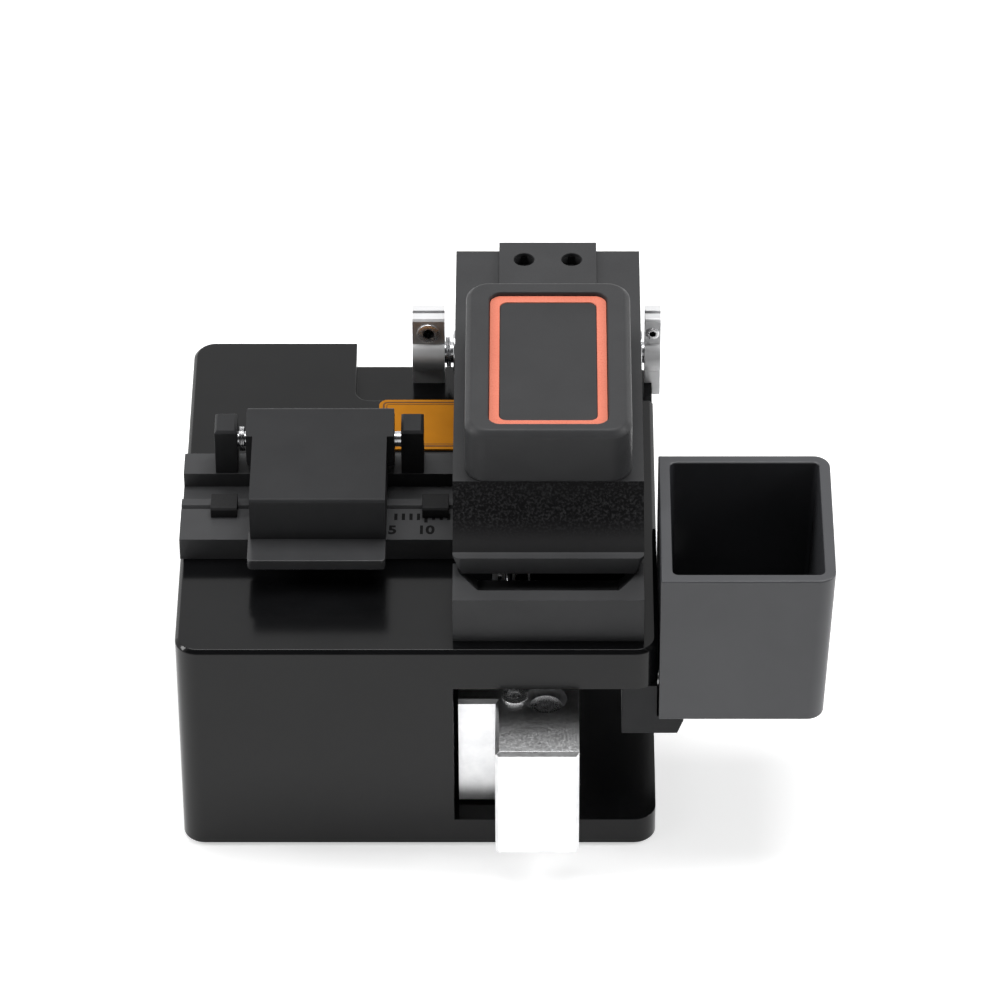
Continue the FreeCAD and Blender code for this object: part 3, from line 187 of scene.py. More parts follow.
# %% Finishes
def finish(name, dark, light, rough, metal=0.0, specular=0.5, grain=(6000.0, 0.00001), brush=None,
           drift=160.0):
    """A finish from two linear colours.

    rough is its lowest and highest roughness. grain is a scale and a height, brush a squeeze along the
    three axes and a height; brush goes before grain.
    """
    material = bpy.data.materials.new(name)
    material.use_nodes = True
    tree = material.node_tree
    shader = tree.nodes["Principled BSDF"]
    shader.inputs["Metallic"].default_value = metal
    shader.inputs["Specular IOR Level"].default_value = specular
    tone = add(tree, "ShaderNodeGroup", set_node_tree=DRIFT, Scale=drift)
    tone.inputs["First"].default_value = (*dark, 1.0)
    tone.inputs["Second"].default_value = (*light, 1.0)
    tree.links.new(tone.outputs["Color"], shader.inputs["Base Color"])
    if brush:
        marks = add(tree, "ShaderNodeGroup", set_node_tree=BRUSH, Squeeze=brush[0], Height=brush[1])
    else:
        marks = add(tree, "ShaderNodeGroup", set_node_tree=GRAIN, Scale=grain[0], Height=grain[1])
    roughness = remap(tree, marks.outputs["Mask"], *GRAIN_MASK, *rough)
    tree.links.new(roughness, shader.inputs["Roughness"])
    tree.links.new(marks.outputs["Normal"], shader.inputs["Normal"])
    return material


ANODISED = finish("black_anodised_deck", (0.0030, 0.0031, 0.0034), (0.0046, 0.0047, 0.0051),
                  (0.12, 0.18), specular=0.26, grain=(9000.0, 0.0000007))
ANODISED_MATT = finish("black_anodised_matt", (0.0185, 0.0188, 0.0200), (0.0228, 0.0231, 0.0244),
                       (0.44, 0.56), specular=0.16, grain=(8000.0, 0.000002))
BED_BLACK = finish("black_anodised_bed", (0.0440, 0.0445, 0.0465), (0.0530, 0.0536, 0.0558),
                   (0.40, 0.52), specular=0.22, grain=(8000.0, 0.000002))
TAB_BLACK = finish("black_anodised_tab", (0.0400, 0.0404, 0.0420), (0.0470, 0.0474, 0.0494),
                   (0.16, 0.24), specular=0.45, grain=(8000.0, 0.000001))
CAST = finish("black_painted", (0.0290, 0.0293, 0.0307), (0.0350, 0.0354, 0.0370), (0.42, 0.54),
              specular=0.24, grain=(5200.0, 0.000003))
BIN_PLASTIC = finish("bin_plastic", (0.0360, 0.0371, 0.0415), (0.0450, 0.0462, 0.0510), (0.30, 0.40),
                     specular=0.52, grain=(5600.0, 0.000004), drift=90.0)
ALUMINIUM = finish("ground_aluminium", (0.76, 0.765, 0.775), (0.88, 0.882, 0.886), (0.30, 0.42),
                   metal=1.0, grain=(3600.0, 0.0000004), drift=420.0)
BRACKET_METAL = finish("matt_aluminium", (0.66, 0.664, 0.672), (0.76, 0.762, 0.768), (0.40, 0.50),
                       metal=0.55, grain=(7000.0, 0.0000015))
STEEL = finish("ground_steel", (0.50, 0.505, 0.52), (0.62, 0.625, 0.64), (0.22, 0.34), metal=1.0,
               brush=((9000.0, 300.0, 9000.0), 0.0000010))
SHAFT_STEEL = finish("turned_steel", (0.52, 0.525, 0.54), (0.66, 0.665, 0.68), (0.14, 0.26), metal=1.0,
                     brush=((9000.0, 300.0, 300.0), 0.0000008))
PLATED = finish("plated_steel", (0.80, 0.80, 0.81), (0.90, 0.90, 0.905), (0.22, 0.34), metal=0.75,
                grain=(7000.0, 0.0000004))
BLACK_STEEL = finish("blackened_steel", (0.009, 0.009, 0.010), (0.016, 0.016, 0.017), (0.26, 0.40),
                     grain=(7000.0, 0.0000015))
SPRING_STEEL = finish("spring_wire", (0.42, 0.42, 0.43), (0.60, 0.60, 0.61), (0.16, 0.30), metal=1.0,
                      grain=(9000.0, 0.000001))
NICKEL = finish("nickel", (0.58, 0.565, 0.53), (0.72, 0.70, 0.66), (0.12, 0.22), metal=1.0,
                grain=(4000.0, 0.000001))
RUBBER = finish("rubber", (0.010, 0.010, 0.010), (0.018, 0.018, 0.018), (0.62, 0.78), specular=0.35,
                grain=(4200.0, 0.000006))
NOTICE = finish("orange_plate", (0.41, 0.150, 0.003), (0.49, 0.185, 0.005), (0.34, 0.46),
                specular=0.10, grain=(5000.0, 0.000001))
NOTICE_LINE = finish("brown_line", (0.075, 0.030, 0.006), (0.12, 0.045, 0.008), (0.34, 0.48),
                     specular=0.3)
RING = finish("salmon_enamel", (0.68, 0.185, 0.115), (0.74, 0.212, 0.135), (0.24, 0.34),
              specular=0.35, grain=(5200.0, 0.0000012))
PLATE = finish("grey_plate", (0.0225, 0.0228, 0.0240), (0.0275, 0.0278, 0.0292), (0.40, 0.50),
               specular=0.25, grain=(6500.0, 0.0000015))
CARBIDE = finish("hard_metal", (0.42, 0.425, 0.44), (0.54, 0.545, 0.56), (0.10, 0.20), metal=1.0,
                 grain=(9000.0, 0.0000006))
GUIDE_BLACK = finish("blackened_guide", (0.0075, 0.0075, 0.0080), (0.0110, 0.0110, 0.0116),
                     (0.55, 0.70), specular=0.2, grain=(7000.0, 0.000002))
ENGRAVED = finish("engraved_mark", (0.0016, 0.0016, 0.0018), (0.0030, 0.0030, 0.0032), (0.55, 0.70),
                  specular=0.1)


def rough_neck_with_painted_shade(material, low, high, grip_z):
    """A copy of a finish with painted shade: it is darker between two corners, as seen along X.

    A little below grip_z it turns coarse and speckled, as the upper half of the lever's grip is.
    """
    copy = material.copy()
    copy.name = "black_painted_lever_painted_neck_shade"
    tree = copy.node_tree
    shader = tree.nodes["Principled BSDF"]
    place = add(tree, "ShaderNodeTexCoord")
    axes = add(tree, "ShaderNodeSeparateXYZ", Vector=place.outputs["Object"])

    def past(axis, limit, test):
        """1 where the place is past the limit, else 0."""
        return combine(tree, test, axes.outputs[axis], limit)

    def blend(kind, mask, first, second):
        """first where the mask is 0, second where it is 1; kind says what is blended."""
        one, two, result = MIX_SOCKETS[kind]
        sockets = {"in_0": mask, one: first, two: second}
        return add(tree, "ShaderNodeMix", set_data_type=kind, **sockets).outputs[result]

    def source_of(label):
        """What feeds a socket of the shader now."""
        return shader.inputs[label].links[0].from_socket

    inside = past("Y", low.y, "GREATER_THAN")
    for test in (("Y", high.y, "LESS_THAN"), ("Z", low.z, "GREATER_THAN"), ("Z", high.z, "LESS_THAN")):
        inside = combine(tree, "MULTIPLY", inside, past(*test))
    fade = remap(tree, axes.outputs["Z"], grip_z - FADE_BELOW, grip_z - FADE_ABOVE, smooth=True)
    grip = combine(tree, "MULTIPLY", inside, fade)
    coarse = add(tree, "ShaderNodeGroup", set_node_tree=GRAIN, Scale=GRIP_SCALE, Height=GRIP_HEIGHT)
    mask = coarse.outputs["Mask"]
    normal = blend("VECTOR", grip, source_of("Normal"), coarse.outputs["Normal"])
    tree.links.new(normal, shader.inputs["Normal"])
    worn = remap(tree, mask, *WORN_MASK, *WORN_ROUGH)
    tree.links.new(blend("FLOAT", grip, source_of("Roughness"), worn), shader.inputs["Roughness"])
    flecks = remap(tree, mask, *FLECK_MASK)
    speckled = blend("RGBA", flecks, (*NECK_PAINTED_SHADE, 1.0), (*FLECK_COLOUR, 1.0))
    # Painted shade: between the corners the lever's colour is darkened to the neck's shade colour.
    painted_shade_below_grip = blend("RGBA", inside, source_of("Base Color"), (*NECK_PAINTED_SHADE, 1.0))
    tree.links.new(blend("RGBA", grip, painted_shade_below_grip, speckled), shader.inputs["Base Color"])
    shine = shader.inputs["Specular IOR Level"]
    tree.links.new(remap(tree, inside, 0.0, 1.0, shine.default_value, NECK_SPECULAR), shine)
    return copy


# The two inputs and the output of a mix node, for each kind of value.
MIX_SOCKETS = {
    "FLOAT": ("in_2", "in_3", 0), "VECTOR": ("in_4", "in_5", 1), "RGBA": ("in_6", "in_7", 2),
}
# Painted shade: a dark colour for the lever's recessed grip under the cap, standing for the shade there;
# the lighter flecks are the grip's own speckle.
NECK_PAINTED_SHADE = (0.0068, 0.0068, 0.0072)
FLECK_COLOUR = (0.0360, 0.0360, 0.0374)
FLECK_MASK = (0.46, 0.74)
NECK_SPECULAR = 0.05
GRIP_SCALE = 3000.0
GRIP_HEIGHT = 0.00004
WORN_MASK = (0.4, 0.66)
WORN_ROUGH = (0.30, 0.66)
FADE_BELOW = 2.8 * MM
FADE_ABOVE = 0.2 * MM
LIP_HEIGHT = 2.7 * MM
LIP_DEPTH = 1.2 * MM
UNDER_CAP = 0.2 * MM
CAP_GAP = 0.02 * MM
lever_low, lever_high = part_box("lever_arm")
cap_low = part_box("lever_cap")[0]
thumb_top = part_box("thumb_block")[1].z
neck_low = Vector((0.0, lever_low.y + LIP_DEPTH, thumb_top + LIP_HEIGHT))
neck_high = Vector((0.0, cap_low.y + UNDER_CAP, cap_low.z - CAP_GAP))
# The lever's finish, with painted shade in its grip under the cap.
LEVER_BLACK_NECK_SHADE = rough_neck_with_painted_shade(CAST, neck_low, neck_high, (neck_low.z + neck_high.z) / 2)

# %% [markdown]
# ## Pieces that keep their CAD shape
# They get smooth shading and a small bevel, so that their edges catch the light as broken edges do on a
# machined part. The bevel is a modifier; the meshes themselves stay as they are.

# %% CAD pieces
FINISH_OF = {
    "base_body": ANODISED, "base_pad": RUBBER, "fibre_bed": BED_BLACK, "fibre_guide_left": GUIDE_BLACK,
    "fibre_guide_right": GUIDE_BLACK, "lid_ear_left": ANODISED_MATT, "lid_ear_right": ANODISED_MATT,
    "lid_pin": SHAFT_STEEL, "notice_plate": NOTICE, "thumb_block": CAST,
    "clamp_block_left": BLACK_STEEL, "clamp_block_right": BLACK_STEEL, "lower_pads": RUBBER,
    "hinge_bracket_left": BRACKET_METAL, "hinge_bracket_right": BRACKET_METAL,
    "hinge_shaft": SHAFT_STEEL, "linear_rail": STEEL, "stop_pin": SHAFT_STEEL,
    "bin_bracket": ANODISED_MATT, "rail_carriage": STEEL, "slider_block": ALUMINIUM,
    "blade_holder": BLACK_STEEL, "blade_shaft": SHAFT_STEEL, "blade": CARBIDE,
    "lever_arm": LEVER_BLACK_NECK_SHADE, "lever_cap": CAST, "cap_ring": RING, "cap_plate": PLATE,
    "upper_clamp_left": BLACK_STEEL, "upper_clamp_right": BLACK_STEEL, "upper_pads": RUBBER,
    "anvil": SHAFT_STEEL, "lid": ANODISED_MATT, "lid_tab": TAB_BLACK, "lid_pads": RUBBER,
}
BEVEL_OF = {
    "base_body": 0.12, "lever_cap": 0.30, "lever_arm": 0.16, "cap_ring": 0.12, "notice_plate": 0.05,
    "cap_plate": 0.05, "blade": 0.0, "lid": 0.12, "lid_tab": 0.22, "thumb_block": 0.15,
}
DEFAULT_BEVEL = 0.08
BEVEL_SEGMENTS = 2
SHARP_ANGLE = math.radians(35)
FLAT_ANGLE = math.radians(0.5)
WELD_DISTANCE = 1e-6


def keep_flat(obj):
    """Lets the largest face at a corner set its normal, so that flat faces mirror straight."""
    normals = obj.modifiers.new("normals", "WEIGHTED_NORMAL")
    normals.mode = "FACE_AREA"
    normals.weight = 100
    normals.keep_sharp = True


def soften(obj, width):
    """Weld, merge flat faces, then bevel the sharp edges by width in millimetres."""
    weld = obj.modifiers.new("weld", "WELD")
    weld.merge_threshold = WELD_DISTANCE
    if width > 0:
        flat = obj.modifiers.new("flat", "DECIMATE")
        flat.decimate_type = "DISSOLVE"
        flat.angle_limit = FLAT_ANGLE
        bevel = obj.modifiers.new("edge", "BEVEL")
        bevel.width = width * MM
        bevel.segments = BEVEL_SEGMENTS
        bevel.limit_method = "ANGLE"
        bevel.angle_limit = SHARP_ANGLE
    obj.data.shade_smooth()
    keep_flat(obj)


def paint(mesh, material):
    """Makes a finish the only one of a mesh."""
    mesh.materials.clear()
    mesh.materials.append(material)


for name, material in FINISH_OF.items():
    paint(nodes[name].data, material)
    soften(nodes[name], BEVEL_OF.get(name, DEFAULT_BEVEL))

# %% [markdown]
# ## Mesh tools
# Small functions that build round and flat pieces with bmesh operators: a turned profile, a screw with a
# hexagon socket, a disc, and flat faces that get a thickness.

# %% Mesh tools
SAME_POINT = 1e-7
SCREW_STEPS = 36
DISC_STEPS = 48
HEAD_RIM = 0.12 * MM
HEAD_RIM_SHARE = 0.15
RIM_ROUND = 0.3
TIP_SHARE = 0.75
TIP_LENGTH = 0.3
SOCKET_LAND = 0.14
SOCKET_DEPTH = 0.7
LEAST_SOCKET = 0.35 * MM
SOCKET_CONE = 0.3
DISC_RIM = 0.15 * MM
DISC_RIM_SHARE = 0.2
DISC_LIFT = 0.02 * MM


def new_piece(name, bm, material, smooth=True, sharp=35.0):
    """A mesh object from a bmesh, smooth apart from edges over sharp degrees."""
    bmesh.ops.remove_doubles(bm, verts=bm.verts, dist=SAME_POINT)
    bmesh.ops.recalc_face_normals(bm, faces=bm.faces)
    mesh = bpy.data.meshes.new(name)
    if smooth:
        for edge in bm.edges:
            if len(edge.link_faces) == 2 and edge.calc_face_angle(0.0) > math.radians(sharp):
                edge.smooth = False
        for face in bm.faces:
            face.smooth = True
    bm.to_mesh(mesh)
    bm.free()
    mesh.materials.append(material)
    obj = bpy.data.objects.new(name, mesh)
    bpy.context.scene.collection.objects.link(obj)
    return obj


def settle(obj, body, slot, *replaced):
    """Hang a finished piece on its body and hide the CAD nodes that it stands for."""
    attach(obj, body)
    if replaced:
        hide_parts(*replaced)
    return obj


def turn_profile(profile, steps):
    """A bmesh of a (radius, height) profile spun about the Z axis; a point on the axis closes it."""
    bm = bmesh.new()
    verts = [bm.verts.new((r, 0.0, z)) for r, z in profile]
    edges = [bm.edges.new(pair) for pair in zip(verts, verts[1:])]
    bmesh.ops.spin(bm, geom=verts + edges, cent=(0, 0, 0), axis=(0, 0, 1), angle=2 * math.pi,
                   steps=steps, use_merge=True)
    return bm


AXES = {
    "x": Matrix(((0, 0, 1, 0), (1, 0, 0, 0), (0, 1, 0, 0), (0, 0, 0, 1))),
    "y": Matrix(((0, 1, 0, 0), (0, 0, 1, 0), (1, 0, 0, 0), (0, 0, 0, 1))),
    "z": Matrix.Identity(4),
}


def toward(axis, out):
    """Turns a piece that points to +Z so that it points along an axis; out is +1 or -1."""
    flip = Matrix.Identity(4) if out > 0 else Matrix.Rotation(math.pi, 4, "X")
    return AXES[axis] @ flip


def join(whole, part, *turns):
    """Adds one bmesh to another after each turn in order, and frees it."""
    mesh = bpy.data.meshes.new("part")
    part.to_mesh(mesh)
    part.free()
    for turn in turns:
        mesh.transform(turn)
    whole.from_mesh(mesh)
    bpy.data.meshes.remove(mesh)


def points_of(elements):
    """The vertices among the results of a bmesh operator."""
    return [e for e in elements if isinstance(e, bmesh.types.BMVert)]


def islands(node):
    """The separate solids of a CAD node, each as a list of points."""
    bm = bmesh.new()
    bm.from_mesh(nodes[node].data)
    bmesh.ops.remove_doubles(bm, verts=bm.verts, dist=SAME_POINT)
    left = set(bm.verts)
    found = []
    while left:
        front = [left.pop()]
        points = []
        while front:
            vert = front.pop()
            points.append(vert.co.copy())
            for edge in vert.link_edges:
                other = edge.other_vert(vert)
                if other in left:
                    left.remove(other)
                    front.append(other)
        found.append(points)
    bm.free()
    return sorted(found, key=lambda points: tuple(min(p[k] for p in points) for k in range(3)))


def along(points, axis, out):
    """A turned solid's levels along its axis, from tip to outer end, and the matrix of its place.

    Each level is a height and the largest radius there.
    """
    k = "xyz".index(axis)
    others = [i for i in range(3) if i != k]
    centre = [(min(p[i] for p in points) + max(p[i] for p in points)) / 2 for i in range(3)]
    levels = {}
    for p in points:
        radius = math.hypot(*(p[i] - centre[i] for i in others))
        key = round(p[k] * out, 6)
        levels[key] = max(levels.get(key, 0.0), radius)
    place = Vector([0.0 if i == k else centre[i] for i in range(3)])
    return sorted(levels.items()), Matrix.Translation(place)


def make_screw(shank_r, head_r, tip, seat, top, socket, chamfer=HEAD_RIM):
    """A bmesh of a screw along +Z with a rounded head edge, a hexagon socket and a pointed tip."""
    rim = min(chamfer, head_r * HEAD_RIM_SHARE)
    corner_r = socket / math.sqrt(3)
    inner = corner_r + SOCKET_LAND * (head_r - corner_r)
    part = turn_profile([
        (0.0, tip), (shank_r * TIP_SHARE, tip), (shank_r, tip + shank_r * TIP_LENGTH),
        (shank_r, seat), (head_r, seat), (head_r, top - rim),
        (head_r - rim * RIM_ROUND, top - rim * RIM_ROUND), (head_r - rim, top), (inner, top),
    ], SCREW_STEPS)
    bmesh.ops.remove_doubles(part, verts=part.verts, dist=SAME_POINT)
    rim_edges = [e for e in part.edges if len(e.link_faces) == 1]
    ring = []
    per_side = SCREW_STEPS // 6
    for side in range(6):
        start, end = (Vector((math.cos(turn), math.sin(turn), 0)) * corner_r
                      for turn in (side * math.pi / 3, (side + 1) * math.pi / 3))
        ring += [part.verts.new(start.lerp(end, k / per_side) + Vector((0, 0, top)))
                 for k in range(per_side)]
    hexagon = [part.edges.new((ring[k], ring[(k + 1) % len(ring)])) for k in range(len(ring))]
    bmesh.ops.bridge_loops(part, edges=rim_edges + hexagon)
    depth = max((top - seat) * SOCKET_DEPTH, LEAST_SOCKET)
    walls = bmesh.ops.extrude_edge_only(part, edges=hexagon)["geom"]
    low = points_of(walls)
    bmesh.ops.translate(part, vec=(0, 0, -depth), verts=low)
    floor_edges = [e for e in walls
                   if isinstance(e, bmesh.types.BMEdge) and all(v in low for v in e.verts)]
    point = part.verts.new((0, 0, top - depth - corner_r * SOCKET_CONE))
    for edge in floor_edges:
        part.faces.new((*edge.verts, point))
    bmesh.ops.remove_doubles(part, verts=part.verts, dist=SAME_POINT)
    bmesh.ops.recalc_face_normals(part, faces=part.faces)
    return part


def dress_screws(node, axis, out, body, slot, material, socket_share=0.95, lift=0.0):
    """Replace a CAD node of plain screws by turned ones with sockets, in the same places."""
    whole = bmesh.new()
    for points in islands(node):
        levels, place = along(points, axis, out)
        (tip, shank_r), (top, head_r) = levels[0], levels[-1]
        seat = next((level for level, r in levels if r > shank_r * 1.05), (top + tip) / 2)
        part = make_screw(shank_r, head_r, tip, seat, top + lift, head_r * socket_share)
        join(whole, part, toward(axis, out), place)
    return settle(new_piece(node + "_turned", whole, material), body, slot, node)


def dress_disc(node, out, body, slot, material):
    """Replace a many-sided disc by a round one with broken edges."""
    whole = bmesh.new()
    for points in islands(node):
        levels, place = along(points, "z", out)
        low, high, r = levels[0][0], levels[-1][0] + DISC_LIFT, levels[-1][1]
        rim = min(DISC_RIM, r * DISC_RIM_SHARE)
        part = turn_profile([
            (0, low), (r - rim, low), (r, low + rim), (r, high - rim),
            (r - rim * RIM_ROUND, high - rim * RIM_ROUND), (r - rim, high), (0, high),
        ], DISC_STEPS)
        join(whole, part, toward("z", out), place)
    return settle(new_piece(node + "_round", whole, material), body, slot, node)


def lift_faces(bm, faces, height):
    """Gives flat faces a thickness: they are extruded upwards by height."""
    made = bmesh.ops.extrude_face_region(bm, geom=faces)["geom"]
    bmesh.ops.translate(bm, vec=(0, 0, height), verts=points_of(made))


def boxed(low, high):
    """The matrix that puts a unit cube or square between two corners; flat if they are level."""
    size = high - low
    scale = Matrix.Diagonal((size.x, size.y, size.z or 1.0, 1.0))
    return Matrix.Translation((low + high) / 2) @ scale


def rectangle(bm, low, high, z):
    """One flat face between two corners."""
    return bmesh.ops.create_grid(bm, x_segments=1, y_segments=1, size=0.5,
                                 matrix=boxed(Vector((*low.xy, z)), Vector((*high.xy, z))))["verts"]


# %% [markdown]
# ## Screws, pins and magnets
# The CAD model holds them as plain ten-sided solids. Each is measured from its node and turned anew at
# the same place and length.

# %% Screws
PLATED_SCREWS = [
    ("rail_screws", "z", 1, "base"), ("bin_screws", "x", 1, "base"),
    ("carriage_screws", "z", 1, "slider"), ("nose_screw", "z", 1, "slider"),
    ("holder_screws", "z", 1, "slider"), ("clamp_screws", "y", -1, "base"),
]
BLACK_SCREWS = [
    ("bed_screws", "z", 1, "base"), ("back_screws", "z", 1, "lever"), ("cap_screws", "z", -1, "lever"),
    ("bin_arm_screws", "z", -1, "base"),
]
for node, axis, out, body in PLATED_SCREWS:
    dress_screws(node, axis, out, body, "screw_steel", PLATED)
for node, axis, out, body in BLACK_SCREWS:
    dress_screws(node, axis, out, body, "black_steel", BLACK_STEEL)
dress_screws("clamp_block_screws", "z", -1, "base", "screw_steel", BLACK_STEEL)
dress_screws("lid_tab_screws", "z", -1, "lid", "black_steel", BLACK_STEEL, lift=0.02 * MM)
dress_screws("bracket_foot_screw", "z", 1, "base", "black_steel", BLACK_STEEL)
dress_screws("blade_screw", "x", -1, "slider", "black_steel", BLACK_STEEL, socket_share=0.55)
for node, out, body in (("bed_magnet", 1, "base"), ("clamp_magnet", 1, "base"),
                        ("lid_magnet", -1, "lid"), ("lever_magnet", -1, "lever")):
    dress_disc(node, out, body, "magnet_nickel", NICKEL)

# %% [markdown]
# ## Wound springs
# A circle of wire is spun round the spring's axis with a steady step along it, which gives a real helix.

# %% Springs
WIRE_STEPS = 12
TURN_STEPS = 28


def dress_spring(node, axis, wire, turns, body):
    """Replace a spring's sleeve by wound wire of the same outer radius."""
    whole = bmesh.new()
    for points in islands(node):
        levels, place = along(points, axis, 1)
        low, high = levels[0][0] + wire / 2, levels[-1][0] - wire / 2
        mean = max(r for _, r in levels) - wire / 2
        part = bmesh.new()
        upright = Matrix.Translation((mean, 0, low)) @ Matrix.Rotation(math.pi / 2, 4, "X")
        circle = bmesh.ops.create_circle(part, segments=WIRE_STEPS, radius=wire / 2, matrix=upright)
        steps = int(turns * TURN_STEPS)
        bmesh.ops.spin(part, geom=circle["verts"] + part.edges[:], cent=(0, 0, 0), axis=(0, 0, 1),
                       angle=2 * math.pi * turns, steps=steps, dvec=(0, 0, (high - low) / steps))
        bmesh.ops.holes_fill(part, edges=[e for e in part.edges if len(e.link_faces) == 1])
        join(whole, part, toward(axis, 1), place)
    piece = new_piece(node + "_wound", whole, SPRING_STEEL, sharp=60)
    return settle(piece, body, "spring_steel", node)


dress_spring("lid_spring", "x", 0.30 * MM, 2.75, "base")
dress_spring("hinge_spring", "x", 0.28 * MM, 1.75, "base")
dress_spring("anvil_spring", "z", 0.45 * MM, 5.5, "lever")

# %% [markdown]
# ## Turned bushes and the stop plate
# The bushes get broken edges and round bores, and the plate at the lever's rear gets round holes.

# %% Bushes and plate
BUSH_PLAY = 0.04 * MM
BUSH_RIM = 0.08 * MM
HOLE_R = 1.40 * MM
shaft_low, shaft_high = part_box("hinge_shaft")
bore = (shaft_high.z - shaft_low.z) / 2 + BUSH_PLAY
bush_whole = bmesh.new()
for points in islands("hinge_bushes"):
    on_left = sum(p.x for p in points) / len(points) < (lever_low.x + lever_high.x) / 2
    out = -1 if on_left else 1
    levels, place = along(points, "x", out)
    inner_end, tube_r = levels[0]
    flange_start = levels[-2][0]
    flange_end, flange_r = levels[-1]
    part = turn_profile([
        (bore, inner_end), (tube_r - BUSH_RIM, inner_end), (tube_r, inner_end + BUSH_RIM),
        (tube_r, flange_start), (flange_r, flange_start), (flange_r, flange_end - BUSH_RIM),
        (flange_r - BUSH_RIM, flange_end), (bore + BUSH_RIM, flange_end), (bore, flange_end - BUSH_RIM),
        (bore, inner_end),
    ], DISC_STEPS)
    join(bush_whole, part, toward("x", out), place)
settle(new_piece("hinge_bushes_turned", bush_whole, SHAFT_STEEL), "lever", "steel", "hinge_bushes")

plate_low, plate_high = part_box("back_plate")
plate_bm = bmesh.new()
rectangle(plate_bm, plate_low, plate_high, plate_low.z)
bmesh.ops.delete(plate_bm, geom=plate_bm.faces[:], context="FACES_ONLY")
for points in islands("back_screws"):
    place = along(points, "z", 1)[1]
    bmesh.ops.create_circle(plate_bm, cap_ends=False, segments=DISC_STEPS, radius=HOLE_R,
                            matrix=Matrix.Translation((0, 0, plate_low.z)) @ place)
bmesh.ops.triangle_fill(plate_bm, use_beauty=True, edges=plate_bm.edges[:])
lift_faces(plate_bm, plate_bm.faces[:], plate_high.z - plate_low.z)
back_piece = new_piece("back_plate_drilled", plate_bm, CAST)
soften(back_piece, 0.10)
settle(back_piece, "lever", "black_cast", "back_plate")

# %% [markdown]
# ## Scrap bin
# A moulded box that stands against the base. Its outer side leans in a little towards the floor, so that
# it leaves its mould. It starts as a cube: two corners are rounded, the top is inset by the wall's
# thickness and pushed down as a pocket, and the rim is broken.

# %% Scrap bin
bin_low, bin_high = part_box("scrap_bin")
bin_middle_x = (bin_low.x + bin_high.x) / 2
bin_height = bin_high.z - bin_low.z
BIN_WALL = 1.5 * MM
BIN_LEAN = 1.0 * MM
BIN_CORNER = 2.2 * MM
BIN_CORNER_STEPS = 8
BIN_INNER_CORNER = 0.8 * MM
BIN_INNER_STEPS = 6
RIM_SOFT = 0.22 * MM
RIM_STEPS = 3
RIM_ANGLE = math.radians(60)
NEAR = 1e-6


def bevel_edges(bm, edges, width, segments):
    bmesh.ops.bevel(bm, geom=edges, offset=width, offset_type="OFFSET", affect="EDGES",
                    segments=segments, profile=0.5, material=-1)


def tall(edge):
    """True for an edge that runs from the floor to the rim."""
    return abs(edge.verts[0].co.z - edge.verts[1].co.z) > bin_height / 2


def outline_at(z):
    """The bin's sharp edges that lie at one height."""
    return [e for e in bin_bm.edges
            if all(abs(v.co.z - z) < NEAR for v in e.verts) and e.calc_face_angle(0.0) > RIM_ANGLE]


def lean_in(verts, bottom):
    """Moves the outer side's lower points in, by the lean that belongs to their height."""
    for v in verts:
        if v.co.x > bin_middle_x and abs(v.co.z - bottom) < NEAR:
            v.co.x -= BIN_LEAN * (bin_high.z - bottom) / bin_height


bin_bm = bmesh.new()
bmesh.ops.create_cube(bin_bm, size=1.0, matrix=boxed(bin_low, bin_high))
lean_in(bin_bm.verts, bin_low.z)
outer = [e for e in bin_bm.edges if tall(e) and e.verts[0].co.x > bin_middle_x]
bevel_edges(bin_bm, outer, BIN_CORNER, BIN_CORNER_STEPS)
top_face = max(bin_bm.faces, key=lambda face: face.calc_center_median().z)
bmesh.ops.inset_region(bin_bm, faces=[top_face], thickness=BIN_WALL, use_even_offset=True)
floor_verts = points_of(bmesh.ops.extrude_face_region(bin_bm, geom=[top_face])["geom"])
bin_floor = bin_low.z + BIN_WALL
bmesh.ops.translate(bin_bm, vec=(0, 0, bin_floor - bin_high.z), verts=floor_verts)
bmesh.ops.delete(bin_bm, geom=[f for f in bin_bm.faces if f.is_valid and f == top_face],
                 context="FACES_ONLY")
lean_in(floor_verts, bin_floor)
pocket_left = bin_low.x + BIN_WALL
inner_left = [e for e in bin_bm.edges if tall(e) and abs(e.verts[0].co.x - pocket_left) < NEAR]
bevel_edges(bin_bm, inner_left, BIN_INNER_CORNER, BIN_INNER_STEPS)
for level in (bin_high.z, bin_low.z):
    bevel_edges(bin_bm, outline_at(level), RIM_SOFT, RIM_STEPS)
scrap_bin = new_piece("scrap_bin_moulded", bin_bm, BIN_PLASTIC, sharp=50)
keep_flat(scrap_bin)
settle(scrap_bin, "base", "bin_black", "scrap_bin")

# %% [markdown]
# ## Engraved scale and plate border
# Between the lid and the lever the bed carries engraved ticks one millimetre apart, with plain numbers.
# The orange plate has a double line round its edge and is otherwise left blank.

# %% Scale and border
bed_low, bed_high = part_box("fibre_bed")
lid_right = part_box("lid")[1].x
SCALE_LAND = 6.3 * MM
INK = 0.03 * MM
TICK_WIDTH = 0.42 * MM
TICK_LENGTH = 1.3 * MM
LONG_TICK = 0.5 * MM
TICK_END = 1.0 * MM
TICK_COUNT = 11
TICK_ZERO = bed_high.x + 0.75 * MM
LAST_TICK = bed_high.x - 0.3 * MM
NUMBER_SIZE = 2.3 * MM
NUMBER_LINE = 5.1 * MM
STROKE = 0.035
BORDER_STEPS = 6
LEAST_CORNER = 0.1 * MM
groove_y = bed_low.y + SCALE_LAND
scale_bm = bmesh.new()
for k in range(1, TICK_COUNT + 1):
    x = TICK_ZERO - k * MM
    if not lid_right < x < LAST_TICK:
        continue
    length = TICK_LENGTH + (LONG_TICK if k % 5 == 0 else 0.0)
    low = Vector((x - TICK_WIDTH / 2, groove_y - TICK_END - length, bed_high.z))
    bmesh.ops.create_cube(scale_bm, size=1.0, matrix=boxed(low, low + Vector((TICK_WIDTH, length, INK))))
settle(new_piece("scale_ticks", scale_bm, ENGRAVED, smooth=False), "base", "black_anodised")


